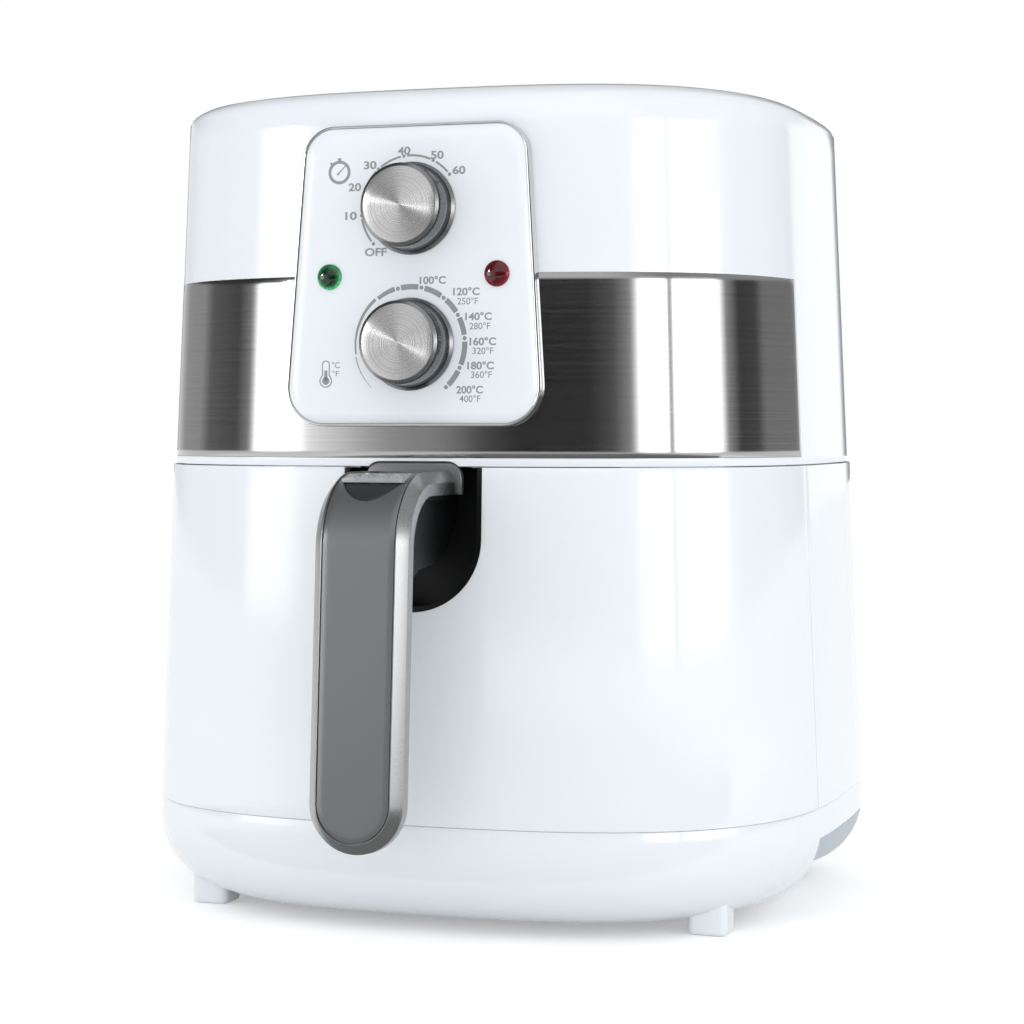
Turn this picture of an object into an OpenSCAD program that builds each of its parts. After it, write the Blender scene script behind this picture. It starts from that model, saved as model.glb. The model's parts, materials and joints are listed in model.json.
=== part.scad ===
// Hot-air deep fryer with a pull-out drawer, a lift-out basket and two dials.
// Millimetres, +Z up, front towards -Y. The origin is on the surface the fryer stands on,
// below the middle of its outer box.

/* [Body] */
// Half the width of the body, measured where its side lines meet the table
body_half_w = 150; // [140:0.5:160]
// Depth of the body ahead of its middle, on the same line
body_front = 144.7; // [138:0.1:150]
// Depth of the body behind its middle, on the same line
body_rear = 137.2; // [130:0.1:145]
// Where the middle of the body lies behind the origin
body_y = 33.4; // [30:0.1:40]
// Squareness of the front half of the plan, 2 is an ellipse
square_front = 3; // [2.5:0.1:4]
// Squareness of the rear half of the plan
square_rear = 3.2; // [2.5:0.1:4]
// How much the sides lean in for each millimetre of height
lean_side = 0.0423; // [0.02:0.001:0.06]
// How much the front leans in for each millimetre of height
lean_front = 0.0376; // [0.02:0.001:0.06]
// How much the back leans in for each millimetre of height
lean_rear = 0.0517; // [0.02:0.001:0.06]
// Height of the top of the dome
top_z = 345; // [340:1:352]
// Height of the lower edge of the upper housing
seam_z = 190.1; // [188:0.1:192]
// Height of the crease between the drawer and the base
crease_z = 47; // [44:0.5:50]
// How far the lower housing stands out past the upper one
seam_step = 1.1; // [0.4:0.1:2]
// Wall thickness of the mouldings
wall = 3; // [2:0.5:4]
// Side of the drawer, where it meets the rear housing
drawer_end_y = -48.2; // [-52:0.1:-44]

/* [Steel band] */
// Lower edge of the band
band_low = 193.5; // [193:0.1:196]
// Upper edge of the band
band_high = 266.7; // [255:0.1:280]
// Where the band ends on each side
band_end_y = -49; // [-60:0.5:-40]
// Thickness of the band
band_t = 0.9; // [0.5:0.1:1.2]

/* [Control panel] */
// Height of the middle of the panel
panel_z = 266.3; // [262:0.1:270]
// Half the height of the panel
panel_half_h = 59.3; // [56:0.1:60]
// Half the width of the panel at its top
panel_top_w = 45.9; // [42:0.1:50]
// Half the width of the panel at its bottom
panel_low_w = 54; // [50:0.1:58]
// How far the panel stands out ahead of the middle of the body
panel_out = 4; // [3:0.1:6]
// Height of the timer knob's middle
timer_z = 292.5; // [290:0.1:298]
// Height of the temperature knob's middle
temperature_z = 238.5; // [236:0.1:244]
// Radius of a knob
knob_r = 16.6; // [14:0.1:18]
// How far a knob stands out from the panel
knob_h = 15; // [14:0.5:22]
// Sideways place of the two signal lenses
lens_x = 35.6; // [33:0.1:38]
// Radius of a signal lens
lens_r = 5.1; // [4:0.1:6]

/* [Handle] */
// Half the width of the handle
handle_half_w = 19.15; // [17:0.05:21]
// Width of the bevel round the handle's face
handle_bevel = 4.3; // [3:0.1:5]
// Depth of the handle's side, bevel included
handle_t = 9.3; // [8:0.1:11]
// Height of the top of the handle's arm
arm_z = 188.3; // [187:0.1:188.6]
// Radius of the bend between the arm and the grip
bend_r = 30; // [24:0.5:34]
// How far ahead of the body's middle the bend starts
bend_y = -166.5; // [-170:0.5:-162]
// Lean of the grip out of the vertical, in degrees
grip_lean = 4; // [2:0.5:6]
// Height of the lower end of the handle
grip_low = 44.5; // [42:0.5:60]

/* [Drawer] */
// Half the width of the pan
pan_half = 116; // [112:0.5:118]
// Half the depth of the pan
pan_half_y = 114; // [110:0.5:115]
// Radius of the pan's upright corners
pan_corner = 50; // [48:1:54]
// Height of the pan's floor
pan_low = 50; // [49.8:0.1:54]
// Height of the pan's rim
pan_high = 180; // [176:0.5:182]
// How far the basket stands inside the pan
basket_gap = 5.5; // [5:0.1:8]
// Spacing of the holes in the basket's floor
hole_pitch = 14; // [12:1:20]
// Half the width of the pocket behind the handle
pocket_half_w = 29.2; // [26:0.1:30]
// Height of the lowest point of the pocket
pocket_low = 132; // [128:0.5:140]

/* [Hidden] */

$fn = 48;
plan_n = 64;                      // points round the body
arc_n = 6;                        // steps in a small rounded corner
eps = 0.01;

lower_out = seam_step / 2;        // lower housing outside the mean wall line
upper_out = -seam_step / 2;       // upper housing inside it
part_gap = 0.5;                   // visible gap between the drawer and the housings
drawer_low = crease_z + 0.2;
drawer_high = seam_z - 1;
deck_z = seam_z - 0.6;            // underside of the chamber's top plate
deck_t = 2;
floor_t = 3;
floor_z = crease_z - 0.3;         // top of the chamber floor
pan_y = -4;                       // middle of the pan, from the middle of the body
pan_front = pan_y - pan_half_y;
lean_angle = atan(lean_front);    // the panel leans back with the body's front
rear_angle = atan(lean_rear);

white = "#EDF1F4";
dark = "#2B2D2F";
black = "#151617";
steel = "#B9BBBC";
satin = "#6F7072";
silver = "#C6C7C8";

// ---------------------------------------------------------------- shared geometry

function half_w(z) = body_half_w - lean_side * z;
function front_d(z) = body_front - lean_front * z;
function rear_d(z) = body_rear - lean_rear * z;

// A point of the body's plan at height z, moved out by off, in direction th
function plan_point(th, z, off) =
    let (a = half_w(z) + off,
         b = (sin(th) < 0 ? front_d(z) : rear_d(z)) + off,
         e = sin(th) < 0 ? square_front : square_rear,
         r = 1 / pow(pow(abs(cos(th)) / a, e) + pow(abs(sin(th)) / b, e), 1 / e))
    [r * cos(th), r * sin(th), z];

function plan_ring(z, off) = [for (i = [0 : plan_n - 1]) plan_point(360 * i / plan_n, z, off)];

function flat(points) = [for (p = points) [p[0], p[1]]];

// Direction in which the wall crosses the line y = end_y, ahead of the middle
function end_angle(z, off, end_y) =
    let (a = half_w(z) + off, b = front_d(z) + off)
    atan2(end_y, a * pow(1 - pow(abs(end_y) / b, square_front), 1 / square_front));

// Faces that close a ring of n points: one flat face, or strips from side to side
function cap(n, strips) =
    strips ? [for (i = [0 : n / 2 - 2]) [i, i + 1, n - 2 - i, n - 1 - i]]
           : [[for (i = [0 : n - 1]) i]];

// Solid through a stack of rings of equal length, closed by its first and last ring
module loft(rings, strips = false) {
    n = len(rings[0]);
    last = (len(rings) - 1) * n;
    polyhedron(
        points = [for (ring = rings) for (p = ring) p],
        faces = concat(
            cap(n, strips),
            [for (k = [0 : len(rings) - 2]) for (i = [0 : n - 1])
                [k * n + i, (k + 1) * n + i, (k + 1) * n + (i + 1) % n, k * n + (i + 1) % n]],
            [for (face = cap(n, strips)) [for (i = [len(face) - 1 : -1 : 0]) last + face[i]]]
        ),
        convexity = 8
    );
}

// Curved wall whose section is profile, a list of [height, offset], ending at end_y on
// both sides; it runs round the front, or round the back
module curved_wall(profile, end_y, round_back, steps) {
    loft([for (i = [0 : steps])
        [for (p = profile)
            let (e = end_angle(p[0], p[1], end_y),
                 from = round_back ? e : 180 - e,
                 to = round_back ? 180 - e : 360 + e)
            plan_point(from + (to - from) * i / steps, p[0], p[1])]]);
}

// Corner b between a and c, rounded with radius r
function round_corner(a, b, c, r) =
    let (u = (a - b) / norm(a - b), v = (c - b) / norm(c - b),
         half = acos(u * v) / 2,
         centre = b + (u + v) / norm(u + v) * r / sin(half),
         first = b + u * r / tan(half) - centre,
         turn = (180 - 2 * half) * sign(first[0] * (b - centre)[1] - first[1] * (b - centre)[0]),
         start = atan2(first[1], first[0]))
    [for (i = [0 : arc_n]) centre + r * [cos(start + turn * i / arc_n), sin(start + turn * i / arc_n)]];

// Outline through points, each corner rounded with its own radius
function rounded(points, radii) =
    let (n = len(points))
    [for (i = [0 : n - 1])
        each round_corner(points[(i + n - 1) % n], points[i], points[(i + 1) % n], radii[i])];

function rounded_square(half_x, half_y, r) =
    rounded([[-half_x, -half_y], [half_x, -half_y], [half_x, half_y], [-half_x, half_y]],
            [r, r, r, r]);

function lift(outline, z) = [for (p = outline) [p[0], p[1], z]];

// Places children in the body's own frame
module in_body() { translate([0, body_y, 0]) children(); }

// Places children on the body's front at height z: +Z points out of the panel, +Y up.
// Like on_rear, it is used inside in_body().
module on_front(z) {
    translate([0, -front_d(z), z]) rotate([90 - lean_angle, 0, 0]) children();
}

// Places children on the body's back at x, z: +Z points out of the back, +Y up
module on_rear(x, z, off) {
    translate([x, rear_d(z) + off, z]) rotate([90 - rear_angle, 0, 180]) children();
}

// Places children on the pan's upright axis, a little ahead of the body's
module in_pan() { in_body() translate([0, pan_y, 0]) children(); }

module tube(r_out, r_in, h) {
    difference() {
        cylinder(r = r_out, h = h);
        translate([0, 0, -1]) cylinder(r = r_in, h = h + 2);
    }
}

// ---------------------------------------------------------------- base

base_out = lower_out - 0.4;
base_round = 35;                  // radius that turns the base's wall into its floor
base_round_z = 40;
base_under_z = base_round_z - base_round;
grip_x = 118;                     // how far in the side grips reach
grip_z = 34;
grip_y = [-45, 52];
grip_wall = 2.6;

function base_inset(angle) = base_round * (1 - cos(angle));

module base_form(grow) {
    loft(concat(
        [for (angle = [84 : -12 : 0])
            plan_ring(base_round_z - (base_round + grow) * sin(angle),
                      base_out + grow - base_inset(angle))],
        [plan_ring(floor_z - 0.8, base_out + grow), plan_ring(floor_z, base_out + grow - 0.8)]
    ));
}

module base_hollow() {
    loft([
        plan_ring(base_under_z + wall, base_out - base_round - 4),
        plan_ring(base_under_z + 7, base_out - base_round + 7),
        plan_ring(base_under_z + 20, base_out - 12),
        plan_ring(floor_z - floor_t, base_out - 8),
        plan_ring(floor_z - floor_t, base_out - 3.5),
        plan_ring(floor_z + 1, base_out - 3.5)
    ]);
}

// Upright block with rounded corners, from low to high in z
module grip_block(x, y0, y1, low, high, r) {
    for (side = [-1, 1]) scale([side, 1, 1]) translate([0, 0, low]) linear_extrude(high - low)
        polygon(rounded([[x, y0], [x + 60, y0], [x + 60, y1], [x, y1]], [r, 1, 1, r]));
}

foot_x = 110.2;
front_foot_y = -86.6;
rear_foot_x = 100;
rear_foot_y = 88;
foot_half = 8.2;
screw_x = 62;                     // places of the four base screws
screw_y = 66;
screw_head_r = 3.8;

module foot_column(x, y, grow) {
    h = foot_half + grow;
    translate([x, y, 0]) loft([
        lift(rounded_square(h - 1.4, h - 1.4, 2), 0),
        lift(rounded_square(h - 0.4, h - 0.4, 2.6), 0.5),
        lift(rounded_square(h, h, 3), 1.6),
        lift(rounded_square(h, h, 3), 17)
    ]);
}

module feet(x, y) {
    color(white) in_body() for (side = [-1, 1]) foot_column(side * x, y, 0);
}

module base_housing() {
    color(white) in_body() difference() {
        union() {
            difference() {
                base_form(0);
                base_hollow();
            }
            intersection() {
                base_form(0);
                grip_block(grip_x - grip_wall, grip_y[0] - grip_wall, grip_y[1] + grip_wall,
                           base_under_z + 1, grip_z + grip_wall, 10 + grip_wall);
            }
        }
        grip_block(grip_x, grip_y[0], grip_y[1], 0, grip_z, 10);
        for (x = [-1, 1]) for (y = [-1, 1]) translate([x * screw_x, y * screw_y, 0])
            cylinder(r = screw_head_r + 0.3, h = base_under_z + 1.6);
        for (side = [-1, 1]) {
            foot_column(side * foot_x, front_foot_y, 0.05);
            foot_column(side * rear_foot_x, rear_foot_y, 0.05);
        }
    }
}

module front_feet() { feet(foot_x, front_foot_y); }
module rear_feet() { feet(rear_foot_x, rear_foot_y); }

// A pan-head screw, head down, with a cross recess
module screw(head_r, shank_r, shank) {
    difference() {
        union() {
            cylinder(r1 = head_r * 0.8, r2 = head_r, h = 1);
            translate([0, 0, 1 - eps]) cylinder(r = head_r, h = 0.6);
            cylinder(r = shank_r, h = 1.6 + shank);
        }
        for (a = [0, 90]) rotate(a) translate([-head_r * 0.6, -0.4, -1]) cube([head_r * 1.2, 0.8, 1.9]);
    }
}

module base_screws() {
    color(steel) in_body() for (x = [-1, 1]) for (y = [-1, 1])
        translate([x * screw_x, y * screw_y, base_under_z]) screw(screw_head_r, 1.8, 0);
}

// ---------------------------------------------------------------- housings

runner_x = 70;                    // the pan slides on two ribs of the chamber floor

module chamber_floor() {
    color(dark) in_body() {
        translate([0, 0, floor_z - floor_t]) linear_extrude(floor_t)
            polygon(flat(plan_ring(floor_z, base_out - 3.7)));
        for (side = [-1, 1]) translate([side * runner_x - 3, -100, floor_z - eps])
            cube([6, 200, pan_low - floor_z - 0.4]);
    }
}

module rear_housing() {
    o = lower_out;
    color(white) in_body() difference() {
        curved_wall([
            [floor_z, o - 7], [floor_z + wall, o - 7], [floor_z + wall, o - wall],
            [deck_z - wall, o - wall], [deck_z - wall, o - 7], [deck_z, o - 7],
            [deck_z, o - 4.2], [drawer_high, o - 4.2], [drawer_high, o - 0.6],
            [drawer_high - 0.6, o], [drawer_low + 0.6, o], [drawer_low, o - 0.6],
            [drawer_low, o - 4.2], [floor_z, o - 4.2]
        ], drawer_end_y + part_gap, true, 48);
        on_rear(gland_x, gland_z, lower_out) translate([0, 0, -20]) cylinder(r = gland_r + 0.05, h = 40);
    }
}

notch_half_w = 20.9;
notch_high = 192.1;
vent_half_w = 44;
vent_half_h = 30;
vent_z = 286;

// Lower edge of the upper housing is notched to let the handle's root rise past it
module root_outline(half, high, r) {
    polygon(rounded([[-half, arm_z - 30], [half, arm_z - 30], [half, high], [-half, high]],
                    [1, 1, r, r]));
}

module upper_housing() {
    o = upper_out;
    ledge = 5;
    color(white) in_body() difference() {
        loft([
            plan_ring(top_z - wall, o - 80), plan_ring(top_z - wall - 0.8, o - 40),
            plan_ring(top_z - wall - 3.2, o - 10), plan_ring(top_z - 10.5, o - wall - 0.4),
            plan_ring(deck_z + deck_t + 2, o - wall), plan_ring(deck_z + deck_t + 2, o - wall - ledge),
            plan_ring(deck_z + deck_t, o - wall - ledge), plan_ring(deck_z + deck_t, o - wall),
            plan_ring(seam_z, o - wall), plan_ring(seam_z, o - 0.5), plan_ring(seam_z + 0.5, o),
            plan_ring(top_z - 9.4, o), plan_ring(top_z - 7, o - 1.4), plan_ring(top_z - 4.9, o - 4.3),
            plan_ring(top_z - 3.3, o - 8.6), plan_ring(top_z - 1.8, o - 20),
            plan_ring(top_z - 0.5, o - 52), plan_ring(top_z, o - 95)
        ]);
        curved_wall([
            [band_low - 0.1, o - band_t - 0.1], [band_high + 0.1, o - band_t - 0.1],
            [band_high + 0.1, o + 3], [band_low - 0.1, o + 3]
        ], band_end_y + 0.1, false, 40);
        on_front(panel_z) translate([0, 0, -20]) linear_extrude(40)
            polygon(panel_outline(-trim_w - 0.15));
        translate([0, -100, 0]) rotate([90, 0, 0]) linear_extrude(100)
            root_outline(notch_half_w, notch_high, 6.5);
        on_rear(0, vent_z, upper_out) translate([-vent_half_w - 0.2, -vent_half_h - 0.2, -20])
            cube([2 * vent_half_w + 0.4, 2 * vent_half_h + 0.4, 40]);
    }
}

module steel_band() {
    o = upper_out + 0.1;
    color(steel) in_body() difference() {
        curved_wall([
            [band_low, o - band_t], [band_high, o - band_t], [band_high, o], [band_low, o]
        ], band_end_y, false, 40);
        on_front(panel_z) translate([0, 0, -20]) linear_extrude(40)
            polygon(panel_outline(-trim_w - 0.15));
    }
}

// Slatted outlet for the hot air, set into the back of the upper housing
module rear_vent() {
    slats = 9;
    pitch = (2 * vent_half_h - 6) / slats;
    color(dark) in_body() difference() {
        union() {
            on_rear(0, vent_z, upper_out) translate([-vent_half_w, -vent_half_h, -9])
                cube([2 * vent_half_w, 2 * vent_half_h, 9.2]);
            difference() {
                on_rear(0, vent_z, upper_out) translate([0, 0, -3]) linear_extrude(4.8)
                    polygon(rounded_square(vent_half_w + 4, vent_half_h + 4, 6));
                loft([plan_ring(vent_z - 60, upper_out + 0.05), plan_ring(vent_z + 60, upper_out + 0.05)]);
            }
        }
        on_rear(0, vent_z, upper_out) for (i = [0 : slats - 1]) for (side = [-1, 1])
            translate([side * vent_half_w / 2 - vent_half_w / 2 + 3.5,
                       -vent_half_h + 3 + pitch * i + 1.4, -10])
                cube([vent_half_w - 7, pitch - 2.8, 20]);
    }
}

gland_x = 46;
gland_z = 78;
gland_r = 8;
gland_bore_r = 3.9;
gland_sink = 1.0;                 // how far the wall falls away there from the middle

// Grommet through which the mains lead leaves the rear housing
module cord_gland() {
    color(black) in_body() on_rear(gland_x, gland_z, lower_out - gland_sink) difference() {
        rotate_extrude() polygon([
            [0, -8], [gland_r + 3, -8], [gland_r + 3, -5], [gland_r, -5], [gland_r, 0.7],
            [gland_r + 3.5, 0.7], [gland_r + 3.5, 2], [gland_r + 2.4, 3.2], [gland_r - 1, 4],
            [gland_r - 1.6, 5], [0, 5]
        ]);
        translate([0, 0, -20]) cylinder(r = gland_bore_r, h = 60);
    }
}

// ---------------------------------------------------------------- control panel

trim_w = 1;

// Outline of the panel, moved in by inset
function panel_outline(inset) =
    let (low = panel_low_w - inset, top = panel_top_w - inset, h = panel_half_h - inset)
    rounded([[-low, -h], [low, -h], [top, h], [-top, h]],
            [15 - inset, 15 - inset, 12 - inset, 12 - inset]);

module control_panel() {
    front = panel_out;
    back = -9;
    color(white) in_body() on_front(panel_z) difference() {
        loft([
            lift(panel_outline(0), back), lift(panel_outline(0), front - 2.2),
            lift(panel_outline(0.5), front - 1), lift(panel_outline(1.6), front - 0.2),
            lift(panel_outline(3), front)
        ]);
        translate([0, 0, back - 1]) linear_extrude(front - 2.6 - back + 1) polygon(panel_outline(2.4));
        for (z = [timer_z, temperature_z]) translate([0, z - panel_z, -20]) cylinder(r = 5, h = 40);
        for (x = [-lens_x, lens_x]) translate([x, 0, -20]) cylinder(r = lens_r + 0.05, h = 40);
    }
}

module panel_trim() {
    color(silver) in_body() on_front(panel_z) difference() {
        translate([0, 0, -9]) linear_extrude(9 + panel_out - 1.8) polygon(panel_outline(-trim_w));
        translate([0, 0, -10]) linear_extrude(30) polygon(panel_outline(-0.02));
    }
}

// Domed signal lens with a shoulder behind the panel
module lens() {
    back = panel_out - 2.6;
    in_body() on_front(panel_z) rotate_extrude() polygon(concat(
        [[0, back - 2], [lens_r + 1.4, back - 2], [lens_r + 1.4, back], [lens_r, back],
         [lens_r, panel_out + 0.4]],
        [for (a = [10 : 16 : 90]) [lens_r * cos(a), panel_out + 0.4 + 1.7 * sin(a)]]
    ));
}

module power_lens() { color("#1E8A3C") translate([-lens_x, 0, 0]) lens(); }
module heat_lens() { color("#7A1014") translate([lens_x, 0, 0]) lens(); }

// Two signal lamps on their little boards, behind the lenses
module lamp_board() {
    back = panel_out - 4.6;
    color("#2E6B3A") in_body() on_front(panel_z) for (side = [-1, 1])
        translate([side * lens_x, 0, 0]) {
        translate([-7, -8, back - 3.6]) cube([14, 16, 1.6]);
        translate([0, 0, back - 2 - eps]) cylinder(r = 2.5, h = 2 + eps);
    }
}

bush_r = 4.8;
spindle_r = 3;

// Spring-driven timer with its bell cup, hung behind the panel by its bushing
module timer_unit() {
    color(steel) in_body() on_front(timer_z) difference() {
        union() {
            translate([0, 0, -36]) cylinder(r = 20, h = 22);
            translate([0, 0, -44]) cylinder(r = 14, h = 9);
            translate([0, 0, -14 - eps]) cylinder(r = bush_r, h = 13.2);
            translate([-25, -4, -14 - eps]) cube([50, 8, 1.5]);
            for (side = [-1, 1]) translate([side * 22 - 3, -4, -13]) cube([6, 8, 13 + panel_out - 2.6]);
        }
        translate([0, 0, -30]) cylinder(r = spindle_r + 0.05, h = 40);
    }
}

// Capillary thermostat: a square switch body with its diaphragm
module thermostat_unit() {
    color("#D9D2C0") in_body() on_front(temperature_z) difference() {
        union() {
            translate([-15, -13, -26]) cube([30, 26, 12]);
            translate([0, 0, -14 - eps]) cylinder(r = bush_r, h = 13.2);
            translate([-21, -4, -14 - eps]) cube([42, 8, 1.5]);
            for (side = [-1, 1]) translate([side * 18 - 3, -4, -13]) cube([6, 8, 13 + panel_out - 2.6]);
        }
        translate([0, 0, -22]) cylinder(r = spindle_r + 0.05, h = 40);
    }
}

// Sensing bulb clipped under the chamber's top plate
module thermostat_bulb() {
    color("#B87333") in_body() {
        translate([-40, -106, deck_z - 3]) rotate([0, 90, 0]) cylinder(r = 2, h = 80);
        for (x = [-30, 30]) translate([x - 2, -109, deck_z - 3]) cube([4, 6, 3]);
    }
}

knob_gap = 0.5;                   // between the panel and the turning knob
grooves = 72;                     // fine grip lines round a knob

// Outline of a knob's grip: a circle with shallow teeth
function toothed(r, depth, count) =
    [for (i = [0 : 2 * count - 1]) let (q = i % 2 == 0 ? r : r - depth)
        [q * cos(180 * i / count), q * sin(180 * i / count)]];

knob_flare = 1.9;                 // how far the foot of a knob spreads past its side

module knob(z) {
    low = panel_out + knob_gap;
    color("#3A3C3E") in_body() on_front(z) difference() {
        union() {
            translate([0, 0, low]) cylinder(r1 = knob_r + knob_flare, r2 = knob_r + 0.5, h = 1.6);
            translate([0, 0, low + 1.6 - eps]) linear_extrude(knob_h - 3.6)
                polygon(toothed(knob_r, 0.4, grooves));
            translate([0, 0, panel_out + knob_h - 1.8]) cylinder(r = knob_r - 0.9, h = 0.6);
        }
        translate([0, 0, low - 1]) cylinder(r = spindle_r + 0.02, h = 12);
        translate([0, 0, panel_out + knob_h - 2.2]) cylinder(r = knob_r - 2.1, h = 3);
    }
}

mark_angle = 234;                 // both pointers rest towards seven o'clock

// Spun metal face with a bevelled rim and a pointer groove
module knob_face(z) {
    top = panel_out + knob_h;
    color(silver) in_body() on_front(z) difference() {
        rotate_extrude() polygon([
            [0, top - 2.2], [knob_r - 2.2, top - 2.2], [knob_r - 2.2, top - 1.18],
            [knob_r - 0.2, top - 1.18], [knob_r - 0.2, top - 0.9], [knob_r - 1.5, top], [0, top]
        ]);
        rotate(mark_angle) for (side = [-0.7, 0.7])
            translate([knob_r * 0.73, side - 0.3, top - 0.35]) cube([knob_r * 0.3, 0.6, 1]);
    }
}

module spindle(z) {
    low = -21.5;
    color(steel) in_body() on_front(z) difference() {
        translate([0, 0, low]) cylinder(r = spindle_r, h = panel_out + 11 - low);
        translate([spindle_r - 0.8, -5, panel_out + 4]) cube([5, 10, 20]);
    }
}

module timer_knob() { knob(timer_z); }
module timer_face() { knob_face(timer_z); }
module timer_spindle() { spindle(timer_z); }
module temperature_knob() { knob(temperature_z); }
module temperature_face() { knob_face(temperature_z); }
module temperature_spindle() { spindle(temperature_z); }

// ---------------------------------------------------------------- cooking chamber

liner_gap = 4;                    // between the pan's wall and the sleeve
liner_t = 1.2;
dome_r = 104;

// Sheet-metal sleeve round the pan, open to the front
module chamber_liner() {
    x = pan_half + liner_gap;
    y = pan_half_y + liner_gap;
    r = pan_corner + liner_gap;
    color(steel) in_pan() translate([0, 0, floor_z]) linear_extrude(deck_z - floor_z) difference() {
        polygon(rounded_square(x + liner_t, y + liner_t, r + liner_t));
        polygon(rounded_square(x, y, r));
        translate([-200, -400 + drawer_end_y + 10]) square([400, 400]);
    }
}

// Plate that closes the chamber above the drawer, open under the fan
module chamber_top() {
    color(steel) in_body() translate([0, 0, deck_z]) linear_extrude(deck_t) difference() {
        polygon(flat(plan_ring(seam_z, upper_out - wall - 0.15)));
        circle(r = dome_r - 6, $fn = 96);
        translate([-notch_half_w - 3, -150]) square([2 * notch_half_w + 6, 22]);
    }
}

element_z = deck_z + deck_t + 8;
element_r = 3.2;
element_loops = [74, 90];
element_gap = 14;                 // opening of each loop, in degrees

// Spun dome that holds the element and turns the air back down
module reflector_dome() {
    z0 = deck_z + deck_t + 1;
    color("#C9CACA") in_body() difference() {
        rotate_extrude($fn = 96) polygon([
            [dome_r - 6, z0], [dome_r + 4, z0], [dome_r + 4, z0 + 1.2], [dome_r - 4.6, z0 + 1.2],
            [dome_r - 5.6, z0 + 22], [dome_r - 14, z0 + 34], [dome_r - 30, z0 + 38.4],
            [6, z0 + 38.4], [6, z0 + 37.2], [dome_r - 30.4, z0 + 37.2], [dome_r - 15, z0 + 33],
            [dome_r - 6.8, z0 + 21.6]
        ]);
        for (r = element_loops) rotate([0, 0, 90 + element_gap / 2]) translate([r, 0, z0])
            cylinder(r = element_r + 0.05, h = 60);
    }
}

// Two concentric loops of sheathed heating rod, joined at one side, with two upright ends
module heating_element() {
    gap = element_gap;
    half = (element_loops[1] - element_loops[0]) / 2;
    color("#4A4A4C") in_body() {
        for (r = element_loops) translate([0, 0, element_z]) rotate([0, 0, 90 + gap / 2])
            rotate_extrude(angle = 360 - gap, $fn = 72) translate([r, 0]) circle(r = element_r, $fn = 20);
        rotate([0, 0, 90 - gap / 2]) translate([element_loops[0] + half, 0, element_z])
            rotate_extrude(angle = 180, $fn = 24) translate([half, 0]) circle(r = element_r, $fn = 20);
        for (r = element_loops) rotate([0, 0, 90 - gap / 2]) translate([r, 0, element_z])
            sphere(r = element_r + 0.3, $fn = 20);
        for (r = element_loops) rotate([0, 0, 90 + gap / 2]) translate([r, 0, element_z - 1.2])
            cylinder(r = element_r, h = 46, $fn = 20);
    }
}

// Guard below the element: stamped rings on four crossing straps
module element_guard() {
    strap = 3;
    t = 1;
    reach = dome_r + 2;
    z = deck_z + deck_t;
    color(steel) in_body() translate([0, 0, z]) {
        for (r = [16, 36, 56, 76, 94]) tube(r + strap / 2, r - strap / 2, t);
        for (a = [0 : 45 : 135]) rotate([0, 0, a]) translate([-reach, -strap / 2, 0])
            cube([2 * reach, strap, t]);
    }
}

motor_low = deck_z + deck_t + 52;
fan_z = deck_z + deck_t + 18;

module fan_motor() {
    color("#8A8D90") in_body() translate([0, 0, motor_low]) difference() {
        union() {
            cylinder(r = 31, h = 30);
            translate([0, 0, -4]) cylinder(r = 9, h = 38);
        }
        translate([0, 0, -20]) cylinder(r = 3.05, h = 80);
    }
}

// Bridge that carries the motor over the dome
module motor_bracket() {
    top = deck_z + deck_t + 39.4;     // the dome's flat top
    post = motor_low - top;
    color(steel) in_body() difference() {
        union() {
            translate([-70, -14, motor_low - 1.6]) cube([140, 28, 1.6]);
            for (side = [-1, 1]) {
                translate([side * 69.2 - 0.8, -14, top]) cube([1.6, 28, post]);
                translate([side < 0 ? -70 : 56, -14, top]) cube([14, 28, 1.6]);
            }
        }
        translate([0, 0, motor_low - 10]) cylinder(r = 9.4, h = 20);
    }
}

module blade_ring(r_in, r_out, count, h, twist) {
    for (a = [0 : 360 / count : 359]) rotate([0, 0, a]) translate([r_in, 0, 0])
        rotate([0, 0, twist]) translate([0, -0.6, 0]) cube([r_out - r_in, 1.2, h]);
}

// Hot-air wheel under the dome
module fan_impeller() {
    color("#A9ABAC") in_body() translate([0, 0, fan_z]) difference() {
        union() {
            cylinder(r = 11, h = 8);
            translate([0, 0, 13]) cylinder(r = 66, h = 1.2);
            translate([0, 0, 7]) cylinder(r = 11, h = 7);
            blade_ring(14, 68, 12, 13.2, 18);
        }
        translate([0, 0, -1]) cylinder(r = 3.02, h = 30);
    }
}

// Cooling wheel between the dome and the motor
module cooling_fan() {
    color("#D8D8D8") in_body() translate([0, 0, fan_z + 23.4]) difference() {
        union() {
            cylinder(r = 8, h = 6);
            cylinder(r = 44, h = 1);
            blade_ring(10, 44, 10, 6, 14);
        }
        translate([0, 0, -1]) cylinder(r = 3.02, h = 30);
    }
}

module motor_shaft() {
    color(steel) in_body() translate([0, 0, fan_z - 2])
        cylinder(r = 3, h = motor_low + 36 - fan_z);
}

// Safety switch that the closed drawer presses
module drawer_switch() {
    color(black) in_body() translate([104, -66, deck_z + deck_t]) {
        cube([20, 6.4, 11]);
        translate([2, 1, 11 - eps]) cube([16, 4.4, 4]);
    }
}

// ---------------------------------------------------------------- drawer

pocket_r = pocket_half_w;
pocket_back_y = -124;             // front of the pocket's back wall
pocket_wall = 2;

// Outline of the pocket: straight sides, a round bottom, open at the top
function pocket_outline(grow, high) =
    let (r = pocket_r + grow, centre = pocket_low + pocket_r)
    concat([[r, high]], [for (a = [0 : -10 : -180]) [r * cos(a), centre + r * sin(a)]], [[-r, high]]);

deck_low = pan_high;              // shelf of the drawer front that sits on the pan's tab
deck_h = 3;

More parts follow.
